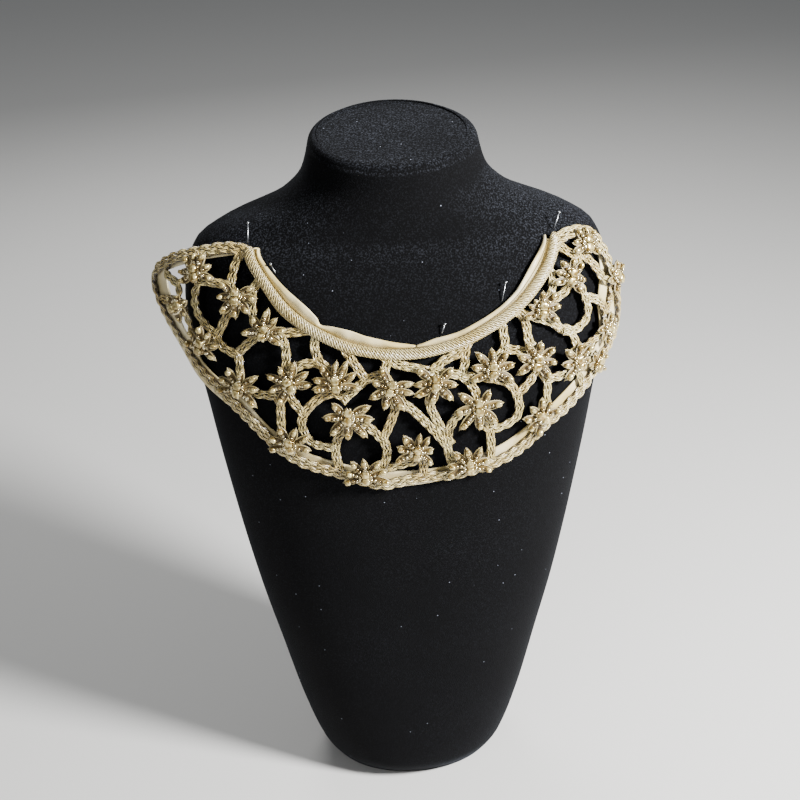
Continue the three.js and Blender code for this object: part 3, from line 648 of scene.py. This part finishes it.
# %% Lay the vines
VINE_WIDTH, VINE_LOW, VINE_HIGH, VINE_SWAY = 6.2, 1.9, 4.7, 50.0
RISE_LIMIT = 0.25
vine_skins = []
for route in VINES:
    vine_skins += plait(route, VINE_WIDTH, VINE_LOW, VINE_HIGH, VINE_SWAY,
                        rise=chance.uniform(-RISE_LIMIT, RISE_LIMIT), start=chance.uniform(0, 1))
make_piece("plaited_vines", vine_skins, [vine_silk], "vine_net_1")

# %% [markdown]
# ## The edge braid and the neck cord
#
# The edge braid is a heavier plait of the same silk that runs round both ends and the whole
# outer line. The neck cord is different: it is a flattened rope with thick floss laid slantwise
# round a core, so eight strands wind round an oval, one turn in every 16 mm.

# %% Routes of the edge braid and the neck cord
NECK_ROUTE = [
    -98.5, 2, -80, 0.9, -60, 0.4, -40, 0.9, -20, 1.3, 0, 1.3, 20, 1.3, 40, 2, 60, 2.6, 80, 3.7,
    101, 4.6,
]
EDGE_ROUTE = [
    -97, 4.5, -100.8, 17, -102.6, 34, -103, 56, -102, 76, -98.5, 93, -92, 99, -85, 96, -78, 91.5,
    -71, 87.5, -64, 84, -56, 82, -50, 84, -44, 88, -36, 92, -28, 96, -20, 97, -12, 94, -6, 95,
    -1, 97, 4, 93, 10, 95.5, 18, 96.5, 26, 95.5, 33, 93, 40, 96, 50, 96, 60, 95, 70, 97, 78, 101,
    84, 99, 88.5, 89, 93, 78, 98, 69, 102.5, 61, 104.6, 50, 104, 34, 101.5, 18, 98, 7,
]

# %% The edge braid
EDGE_WIDTH, EDGE_LOW, EDGE_HIGH, EDGE_SWAY = 8.2, 1.9, 5.1, 56.0
make_piece("edge_plait", plait(EDGE_ROUTE, EDGE_WIDTH, EDGE_LOW, EDGE_HIGH, EDGE_SWAY, sides=8),
           [edge_silk], "edge_braid")


# %% The neck cord
ROPE_STEP, ROPE_THICK, ROPE_NOSE = 0.7, 0.68, 3.0
ROPE_STRANDS, ROPE_LEAD = 8, 16.0
NECK_WIDTH, NECK_LOW, NECK_HIGH = 7.0, 1.9, 6.2


def laid_rope(points, width, low, high):
    """Strand k goes round an oval as it goes along: its angle is a whole turn in each lead plus
    an eighth of a turn for each k. A plain oval core fills the middle. The oval shrinks over the
    last 3 mm by a square root, which rounds the rope's ends."""
    u, v, along = even_path(points, ROPE_STEP)
    skin, across, normal = path_frame(u, v)
    nose = np.clip(np.minimum(along, along[-1] - along) / ROPE_NOSE, 0.01, 1) ** 0.5
    wide, tall = nose * (width / 2 - ROPE_THICK), nose * ((high - low) / 2 - ROPE_THICK)
    middle = skin + normal * (low + high) / 2
    skins = []
    for k in range(ROPE_STRANDS):
        t = 2 * np.pi * (k / ROPE_STRANDS - along / ROPE_LEAD)
        out = unit(across * (np.cos(t) / wide)[:, None] + normal * (np.sin(t) / tall)[:, None])
        centre = (middle + across * (wide * np.cos(t))[:, None]
                  + normal * (tall * np.sin(t))[:, None])
        forward = unit(np.gradient(centre, axis=0))
        sideways = unit(np.cross(forward, out))
        rings = swept(centre, sideways, np.cross(sideways, forward), ROPE_THICK,
                      ROPE_THICK * nose, 8)
        skins.append(closed_skin(rings, along / 10))
    return skins + [closed_skin(swept(middle, across, normal, wide, tall, 16), along / 10)]


make_piece("neck_cord", laid_rope(NECK_ROUTE, NECK_WIDTH, NECK_LOW, NECK_HIGH), [neck_silk],
           "neck_braid")

# %% [markdown]
# ## Satin strips and facing
#
# Satin shows as a strip under the neck cord, a wider one along the edge and a facing that
# stands up inside the neck. Each is a wall of cloth between two lines on the collar's map. It
# puckers a little where it is caught by stitches, so its height carries small slanting waves.

# %% Table: the satin edge strip
# u, v of the inner side, v of the outer side
EDGE_STRIP = np.array([
    [-100, 84, 100],
    [-90, 84, 103],
    [-80, 80, 102.5],
    [-70, 78, 101.5],
    [-60, 76, 100],
    [-50, 78, 98],
    [-40, 82, 98],
    [-30, 88, 99.5],
    [-20, 89, 100.5],
    [-10, 87, 98.5],
    [0, 88, 101],
    [10, 89, 99.5],
    [20, 86, 100.5],
    [30, 84, 99],
    [40, 84, 100],
    [50, 84, 100.5],
    [60, 83, 99.5],
    [70, 75, 102],
    [78, 58, 105.5],
    [84, 57, 104.5],
    [89, 61, 95],
    [95, 64, 81],
])

# %% Helpers: walls of cloth between two lines
SATIN_LOW, SATIN_HIGH = 0.6, 1.6
WALL_COLUMNS, NECK_COLUMNS = 8, 4
EDGE_PUCKER, NECK_PUCKER, FACING_PUCKER, FACING_ROLL = 0.35, 0.1, 0.4, 1.1


def between(start, end, share):
    """A straight mix of two arrays."""
    return start + (end - start) * share


def cloth_wall(inner, outer, columns, pucker, outer_lift=0.0, roll=0.0):
    """Top points lie at the satin's height + outer lift * share + roll * hump, which rounds the
    cloth over, with hump = sin(pi * share). The puckers add
    pucker * hump * (sin(0.45 * station + 1.4 * share) + sin(0.19 * station + 1.3) / 2), so they
    fade to nothing at both lines. The underside follows 1 mm below, and both edges are closed."""
    share = np.linspace(0, 1, columns + 1)
    u = between(inner[:, :1], outer[:, :1], share)
    v = between(inner[:, 1:2], outer[:, 1:2], share)
    hump = np.sin(np.pi * share)
    station = np.arange(len(inner))[:, None]
    wave = np.sin(0.45 * station + 1.4 * share) + np.sin(0.19 * station + 1.3) / 2
    lift = (np.reshape(outer_lift, (-1, 1)) * share + roll * hump
            + pucker * np.maximum(wave * hump, -0.5))
    top, under = (collar_point(u, v, height + lift) for height in (SATIN_HIGH, SATIN_LOW))
    return np.concatenate([top, under[:, ::-1]], axis=1)


# %% The edge strip, down both ends and along the edge
def strip_end(v, inner_u, outer_u, bulge, span):
    """Stations down one end. The outer side bows out by bulge * sin(pi * v / span), and the
    inner side by 0.9 of that."""
    bow = bulge * np.sin(np.pi * v / span)
    return points_of(inner_u + bow * 0.9, v, outer_u + bow, v)


u_edge = np.linspace(95, -94, 64)
v_inner, v_outer = smooth_line(EDGE_STRIP, 1)(u_edge), smooth_line(EDGE_STRIP, 2)(u_edge)
right_end = strip_end(np.linspace(10, 62, 9), 95, 99.3, 7.5, 90)
left_end = strip_end(np.linspace(84, 10, 11), -96, -100.3, -3.8, 100)
rows = np.concatenate([right_end, points_of(u_edge, v_inner, u_edge, v_outer), left_end])
# The same rows, walked in 420 even steps with straight mixes between them
at = np.linspace(0, len(rows) - 1, 420)
stations = points_of(*(np.interp(at, np.arange(len(rows)), column) for column in rows.T))
edge_rings = cloth_wall(stations[:, :2], stations[:, 2:], WALL_COLUMNS, EDGE_PUCKER)
satin_edge_strip = make_piece("satin_edge_strip", [closed_skin(edge_rings)], [ground_satin],
                              "satin_edge")

# %% The strip under the neck cord
NECK_STRIP_INNER, NECK_STRIP_OUTER = 4.6, -1.6
u_neck = np.linspace(-98, 98, 130)
neck_rings = cloth_wall(points_of(u_neck, NECK_STRIP_INNER), points_of(u_neck, NECK_STRIP_OUTER),
                        NECK_COLUMNS, NECK_PUCKER)
satin_neck_strip = make_piece("satin_neck_strip", [closed_skin(neck_rings)], [ground_satin],
                              "satin_neck")

# %% Tables: the facing's two stretches
# u, v of the free edge, how far that edge stands off
FACING_LEFT = np.array([
    [-97, -3.7, 0],
    [-88, -5.6, 0.6],
    [-76, -7, 1.4],
    [-62, -8.6, 3.4],
    [-50, -7.5, 3],
    [-45, -5.2, 0.6],
    [-40, -8.2, 2.5],
    [-30, -10.5, 4],
    [-20, -9, 3],
    [-10, -7.4, 1.5],
    [-1, -5.4, 0.5],
    [3.2, -3.8, 0],
])
FACING_RIGHT = np.array([
    [3.4, -3.7, 0],
    [14, -5.8, 0.6],
    [26, -5.4, 0.6],
    [40, -5.3, 0.7],
    [50, -4.9, 0.9],
    [60, -4.7, 1],
    [70, -5.1, 1.3],
    [82, -6.1, 1.5],
    [90, -5.9, 0.9],
    [99.5, -4.1, 0],
])

# %% The facing
FACING_FROM = -2.1
for side, rows, cut_width in (("left", FACING_LEFT, 0.012), ("right", FACING_RIGHT, 0.010)):
    u = np.linspace(rows[0, 0], rows[-1, 0], 110)
    free_edge, free_lift = smooth_line(rows, 1)(u), np.maximum(smooth_line(rows, 2)(u), 0)
    rings = cloth_wall(points_of(u, FACING_FROM), points_of(u, free_edge), WALL_COLUMNS,
                       FACING_PUCKER, free_lift, FACING_ROLL)
    facing = make_piece(f"satin_facing_{side}", [closed_skin(rings)], [ground_satin],
                        f"neck_facing_{side}")
    middle = rings[:, WALL_COLUMNS // 2]
    length = float(np.linalg.norm(np.diff(middle, axis=0), axis=-1).sum() * MM)

# %% [markdown]
# ## Leaf sprigs
#
# Each sprig is a fan of small leaves round a stem of two square beads. A leaf is a sliver of
# satin with a thread cord round it, a row of seed beads, one larger bead and a wrapped thread
# tip. Leaves are shorter where a neighbour or the neck cord is near.

# %% Table: the sprigs
# u, v, heading of the middle leaf, fan in degrees, number of leaves, reach in mm
SPRIGS = np.array([
    [-92, 46, 275, 230, 7, 12.5],
    [-75, 20.5, 110, 250, 7, 14],
    [-55, 18.5, 315, 220, 6, 14.5],
    [-61.5, 61.5, 320, 220, 6, 13],
    [-43, 71, 325, 230, 7, 16],
    [-33.5, 43, 290, 240, 7, 15.5],
    [-21.5, 27, 325, 220, 7, 16],
    [-25, 86, 330, 220, 6, 15],
    [-13.5, 46, 165, 240, 7, 17],
    [-5.5, 90, 350, 220, 7, 15.5],
    [-3, 22.5, 190, 260, 7, 15.5],
    [8.5, 21.5, 195, 250, 7, 15.5],
    [3, 70, 5, 240, 7, 15.5],
    [19, 46, 195, 260, 7, 17],
    [13, 90, 5, 230, 7, 16],
    [28.5, 27, 35, 240, 7, 15.5],
    [42, 42, 60, 250, 7, 15],
    [54, 69, 20, 230, 6, 14],
    [33, 82, 340, 250, 7, 13.5],
    [62, 15.5, 60, 240, 7, 13.5],
    [82, 21.5, 80, 260, 7, 12],
    [98.5, 40, 80, 250, 7, 11],
    [90.5, 81, 10, 240, 5, 10.5],
    [-78, 69.5, 350, 240, 5, 9],
    [60, 90, 60, 220, 5, 10.5],
    [72, 76, 350, 240, 6, 10.5],
])
# Sizes in mm: the solids' widest leaf, shortest leaf and middle, and where sprigs lie
LEAF_WIDTH, SHORTEST_LEAF, BOSS_RADIUS, SPRIG_LOW = 6.0, 5.8, 4.4, 5.4
# How far a leaf keeps from the neck line and from the half-way line, and its steps in length
NECK_GAP, HALF_WAY_GAP, REACH_STEP = 5.1, 0.4, 0.5
# The share of a leaf's length where it is widest
LEAF_WIDEST = 0.45

# %% Local frames of the sprigs
sprig_u, sprig_v = SPRIGS[:, 0], SPRIGS[:, 1]
centres, centre_normals = collar_site(sprig_u, sprig_v)
per_u, per_v = (
    (collar_site(sprig_u + du, sprig_v + dv)[0] - collar_site(sprig_u - du, sprig_v - dv)[0]) / 2
    for du, dv in ((1, 0), (0, 1))
)
to_neck = unit(-per_v)
to_right = unit(np.cross(to_neck, centre_normals))
neck_line = collar_site(np.linspace(-100, 100, 101), 2.0)[0]


def on_sprig(number, local):
    """Local (forward, sideways, height) in mm becomes a step in u and v by solving the two slopes
    of the map, so a flat sprig bends with the cloth. Forward is towards the neck."""
    forward, sideways, height = np.moveaxis(local, -1, 0)
    step_u = sideways / (per_u[number] @ to_right[number])
    step_v = ((forward - (per_u[number] @ to_neck[number]) * step_u)
              / (per_v[number] @ to_neck[number]))
    return collar_point(sprig_u[number] + step_u, sprig_v[number] + step_v, height)


# %% How long each leaf may be
def has_room(number, points):
    """True where every point is clear of the neck cord and on this sprig's side of the line half
    way to each neighbour."""
    clear = np.linalg.norm(points[:, None] - neck_line, axis=-1).min() > NECK_GAP
    between_two = np.delete(centres, number, 0) - centres[number]
    distance = np.linalg.norm(between_two, axis=1)
    reached = (points - centres[number]) @ (between_two / distance[:, None]).T
    return clear and bool((reached < distance / 2 - HALF_WAY_GAP).all())


def leaf_reach(number, angle, wanted, half_turn):
    """The wanted reach, less half a millimetre at a time until the leaf's three corners fit."""
    reach = wanted
    while reach > SHORTEST_LEAF:
        widest = between(BOSS_RADIUS, reach, LEAF_WIDEST)
        turn = min(np.arcsin(LEAF_WIDTH / 2 / widest), half_turn * 0.86)
        angles = np.array([angle - turn, angle, angle + turn])
        radii = np.array([widest, reach, widest])
        local = points_of(radii * np.cos(angles), radii * np.sin(angles), 0.0)
        if has_room(number, on_sprig(number, local)):
            break
        reach -= REACH_STEP
    return max(reach, SHORTEST_LEAF)


# %% Helpers: small shapes in a leaf's own axes
def turned(local, angle):
    """Points turned by an angle from their first direction towards their second."""
    forward, sideways, height = np.moveaxis(local, -1, 0)
    return points_of(forward * np.cos(angle) - sideways * np.sin(angle),
                     forward * np.sin(angle) + sideways * np.cos(angle), height)


def leaf_half_width(t, width):
    """Half the width at share t from base to tip: widest half way, blunt towards the tip."""
    return width / 2 * np.sin(np.pi * np.clip(t, 0, 1) ** 0.95) ** 0.62


def pillow(centre, half, power):
    """A superellipsoid: each sine and cosine keeps its sign and is raised to a power. Power 1 is
    an egg, and below 1 the corners fill out towards a square pillow."""
    rise = np.linspace(-0.44, 0.44, 7) * np.pi
    turn = full_turn(10) + np.pi / 10

    def keep(x):
        return np.sign(x) * np.abs(x) ** power

    flat = keep(np.cos(rise))[:, None]
    unit_pillow = points_of(flat * keep(np.cos(turn)), flat * keep(np.sin(turn)),
                            keep(np.sin(rise))[:, None])
    return centre + unit_pillow * half


def seed_bead(centre, yaw, tilt, radius):
    """A ring of glass: a tube of 0.4 radii round a circle of 0.6 radii, drawn out to 0.72 radii
    in height, tilted and then turned."""
    turn, loop = full_turn(9)[:, None], full_turn(6)[None, :]
    ring = radius * (0.6 + 0.4 * np.cos(loop))
    x, y, z = ring * np.cos(turn), ring * np.sin(turn), 0.72 * radius * np.sin(loop)
    tilted = turned(points_of(y, z, x), tilt)[..., [2, 0, 1]]
    return centre + turned(tilted, yaw)


# %% One leaf
SEED_RADIUS, PEARL_RADIUS = 1.32, 1.75
CORD_HALF_WIDE, CORD_HALF_HIGH, BLADE_HALF_HIGH = 0.42, 0.55, 0.4
# The thread tip starts at this share of the leaf and goes this far past its end, in mm
TIP_FROM, TIP_BEYOND = 0.84, 0.9
# Half widths of blade and tip as shares of the leaf's half width and width
BLADE_SHARE, TIP_SHARE = 0.95, 0.19
# Beads are a step of 1.75 radii apart, and lie askew by up to 0.3 mm and half a radian
SEED_STEP, ASIDE, ASKEW = SEED_RADIUS * 1.75, 0.3, 0.5
THREAD, SATIN, SEED, PEARL = range(4)


def leaf_parts(start, reach, width, bend):
    """The cord's route goes up one side and down the other: forward is mixed from start to reach
    by t, sideways is the half width at t, and the leaf bends sideways by bend * t squared."""
    s = np.linspace(-1, 1, 25)
    t = 1 - np.abs(s)
    forward = between(start, reach, t)
    sideways = np.sign(s) * leaf_half_width(t, width) + bend * t**2
    centre = points_of(forward, sideways, SPRIG_LOW + 0.6)
    direction = unit(np.gradient(centre, axis=0))
    cord = swept(centre, np.cross(direction, UP), UP, CORD_HALF_WIDE, CORD_HALF_HIGH, 6)
    t = np.linspace(0.04, 0.94, 9)
    middle = points_of(between(start, reach, t), bend * t**2, SPRIG_LOW + 0.45)
    half = leaf_half_width(t, width) * BLADE_SHARE
    blade = swept(middle, SIDEWAYS, UP, half, BLADE_HALF_HIGH, 8)
    t = np.linspace(0.0, 1.0, 7)
    tip = points_of(between(between(start, reach, TIP_FROM), reach + TIP_BEYOND, t),
                    bend * between(TIP_FROM, 1.07, t) ** 2, SPRIG_LOW + 1.25 - 0.4 * t)
    half = (width * TIP_SHARE * np.sqrt(np.clip(1 - t, 0.015, 1))
            * (0.8 + 0.2 * np.cos(np.pi * t)))
    return cord, blade, swept(tip, SIDEWAYS, UP, half, half * 0.9, 8)


def leaf_beads(start, reach, bend, random):
    """A row of seed beads from the base, threaded along the leaf, then one larger bead before
    the tip. Each seed bead lies a little askew."""
    length = reach - start
    half = np.array([1.2, 0.95, 0.95]) * min(PEARL_RADIUS, length * 0.18)
    pearl_at = between(start, reach, TIP_FROM) - half[0] * 0.6
    seeds = []
    spot = start
    while spot < pearl_at - half[0] - SEED_RADIUS * 0.4:
        t = (spot - start) / length
        centre = [spot, bend * t**2 + random.uniform(-ASIDE, ASIDE), SPRIG_LOW + 2.1]
        yaw, tilt = np.pi / 2 + random.uniform(-ASKEW, ASKEW, 2)
        seeds.append(seed_bead(centre, yaw, tilt, SEED_RADIUS * random.uniform(0.9, 1.1)))
        spot += SEED_STEP
    t = (pearl_at - start) / length
    pearl = pillow([pearl_at, bend * t**2, SPRIG_LOW + 0.8 + half[2]], half, 0.7)
    return seeds, pearl


# %% All sprigs
LEAF_FROM, BEADS_FROM, BEND_LIMIT = 2.6, 3.8, 1.5
# A leaf may fill its share of the fan and a little more, and is then drawn slimmer
FAN_FILL, SLIMMER = 1.1, 0.84
SQUARES_AT, SQUARE_HALF = (-2.7, 2.5), [2.45, 2.45, 1.5]
RING_BEADS, RING_LONG, RING_WIDE = 10, 4.9, 3.3


def sprig_skins(number, random):
    """Leaves are spread evenly over the fan. Every other one is a little shorter. The stem is two
    square beads along the heading, with seed beads tucked round them."""
    _, _, heading, fan, leaves, reach = SPRIGS[number]
    half_turn = np.radians(fan / (leaves - 1) / 2)
    skins = []

    def add(shape, angle, slot, hoop=False):
        laid = on_sprig(number, turned(shape, angle))
        skins.append(closed_skin(laid, slot=slot, hoop=hoop))

    for k in range(int(leaves)):
        angle = np.radians(heading - fan / 2) + 2 * half_turn * k
        long = leaf_reach(number, angle, reach * (0.9 if k % 2 else 1), half_turn)
        bend = random.uniform(-BEND_LIMIT, BEND_LIMIT)
        room = 2 * between(LEAF_FROM, long, LEAF_WIDEST) * np.sin(half_turn)
        width = min(LEAF_WIDTH, room * FAN_FILL) * SLIMMER
        cord, blade, wrapped = leaf_parts(LEAF_FROM, long, width, bend)
        add(cord, angle, THREAD)
        add(blade, angle, SATIN)
        add(wrapped, angle, THREAD)
        seeds, pearl = leaf_beads(BEADS_FROM, long, bend, random)
        add(pearl, angle, PEARL)
        for seed in seeds:
            add(seed, angle, SEED, hoop=True)
    angle = np.radians(heading)
    for forward in SQUARES_AT:
        add(pillow([forward, 0, SPRIG_LOW + 2.6], SQUARE_HALF, 0.45), angle, PEARL)
    for k in range(RING_BEADS):
        turn = 2 * np.pi * (k + 0.5) / RING_BEADS
        centre = [RING_LONG * np.cos(turn), RING_WIDE * np.sin(turn), SPRIG_LOW + 2.0]
        seed = seed_bead(centre, random.uniform(0, np.pi), random.uniform(-1, 1), SEED_RADIUS)
        add(seed, angle, SEED, hoop=True)
    return skins


for number in range(len(SPRIGS)):
    skins = sprig_skins(number, np.random.default_rng(100 + number))
    make_piece(f"leaf_sprig_{number + 1:02d}", skins,
               [leaf_thread, leaf_satin, seed_glass, pearl_glass],
               f"sprig_{number + 1:02d}")

# %% [markdown]
# ## Pins
#
# Dress pins hold the collar on the form. A pin is a fine round wire with a small round head, so
# it is one profile turned about its own line.

# %% Table: the pins
# u, v of the point, direction of the shaft in x, y and z, length shown
PINS = np.array([
    [-101.8, 6.5, 0.09, 0.2, 0.98, 14.2],
    [-80.5, -7.8, -0.39, 0.18, 0.9, 8],
    [17, -7, 0.3, 0.1, 0.95, 8],
    [55.5, -5.9, 0.2, 0.19, 0.96, 13.6],
    [103.6, 9, 0.3, 0.18, 0.94, 12.6],
])
PIN_RADIUS, HEAD_RADIUS, PIN_SEAT = 0.34, 0.9, 0.75

# %% The pins
for number, (u, v, x, y, z, length) in enumerate(PINS, 1):
    skin, normal = collar_site(u, v)
    axis = unit(np.array([x, y, z]))
    sideways = unit(np.cross(axis, normal))
    third = np.cross(axis, sideways)
    roll = np.linspace(-0.42, 0.48, 9) * np.pi
    along = np.concatenate([[0, 1.5, length - 2 * HEAD_RADIUS],
                            length - HEAD_RADIUS + HEAD_RADIUS * np.sin(roll)])
    radius = np.concatenate([[0.08, PIN_RADIUS, PIN_RADIUS], HEAD_RADIUS * np.cos(roll)])
    centre = skin + normal * PIN_SEAT + axis * along[:, None]
    rings = swept(centre, sideways, third, radius, radius, 14)
    make_piece(f"dress_pin_{number}", [closed_skin(rings)], [pin_steel],
               f"pin_{number}")

# %% [markdown]
# ## Camera, floor and light
#
# The camera stands where the photographer stood: a little to the left, well above the neck and
# looking down by about thirty degrees. The floor is plain and pale, the light soft.

# %% Camera
CAMERA_AT = np.array([-37.5, -708.4, 715.5]) * MM
LOOK_DOWN, LOOK_LEFT, ROLL = np.radians([29.67, -2.95, -1.8])
FOCAL_PIXELS, FRAME_PIXELS, SENSOR = 1150, 800, 36.0
back = np.array([np.sin(LOOK_LEFT) * np.cos(LOOK_DOWN),
                 -np.cos(LOOK_LEFT) * np.cos(LOOK_DOWN), np.sin(LOOK_DOWN)])
level = unit(np.cross(-back, [0, 0, 1]))
upright = np.cross(level, -back)
right = np.cos(ROLL) * level + np.sin(ROLL) * upright
top = -np.sin(ROLL) * level + np.cos(ROLL) * upright
camera_data = bpy.data.cameras.new("camera")
camera_data.sensor_width = SENSOR
camera_data.lens = SENSOR * FOCAL_PIXELS / FRAME_PIXELS
camera_data.clip_end = 20
camera = new_object("camera", camera_data)
axes_and_place = points_of(right, top, back, CAMERA_AT)
camera.matrix_world = Matrix([*axes_and_place.tolist(), [0, 0, 0, 1]])
bpy.context.scene.camera = camera

# %% Floor
floor_mesh = bpy.data.meshes.new("floor")
FAR = 6.0
floor_mesh.from_pydata([(-FAR, -FAR, 0), (FAR, -FAR, 0), (FAR, FAR, 0), (-FAR, FAR, 0)], [],
                       [(0, 1, 2, 3)])
floor_finish, _, _ = new_finish("pale paper floor", Base_Color=tint("#d9d8d5"), Roughness=0.8)
floor_mesh.materials.append(floor_finish)
floor = new_object("floor", floor_mesh)

# %% Lights
TARGET = Vector((0, -0.05, 0.38))
# name, place, size in metres, power in watts
LAMPS = [
    ("key", (0.95, -0.55, 0.95), 0.26, 70),
    ("fill", (-0.9, -1.1, 1.1), 0.7, 4),
    ("back", (-0.3, 1.2, 1.3), 0.8, 12),
]
for name, place, size, power in LAMPS:
    data = bpy.data.lights.new(name, "AREA")
    data.shape = "DISK"
    data.size = size
    data.energy = power
    lamp = new_object(name, data)
    lamp.location = place
    lamp.rotation_euler = (TARGET - Vector(place)).to_track_quat("-Z", "Y").to_euler()
world = bpy.data.worlds.new("studio")
bpy.context.scene.world = world
world.use_nodes = True
background = world.node_tree.nodes["Background"]
background.inputs["Color"].default_value = tint("#e9edf2")
background.inputs["Strength"].default_value = 0.19

# %% Update the scene
bpy.context.view_layer.update()
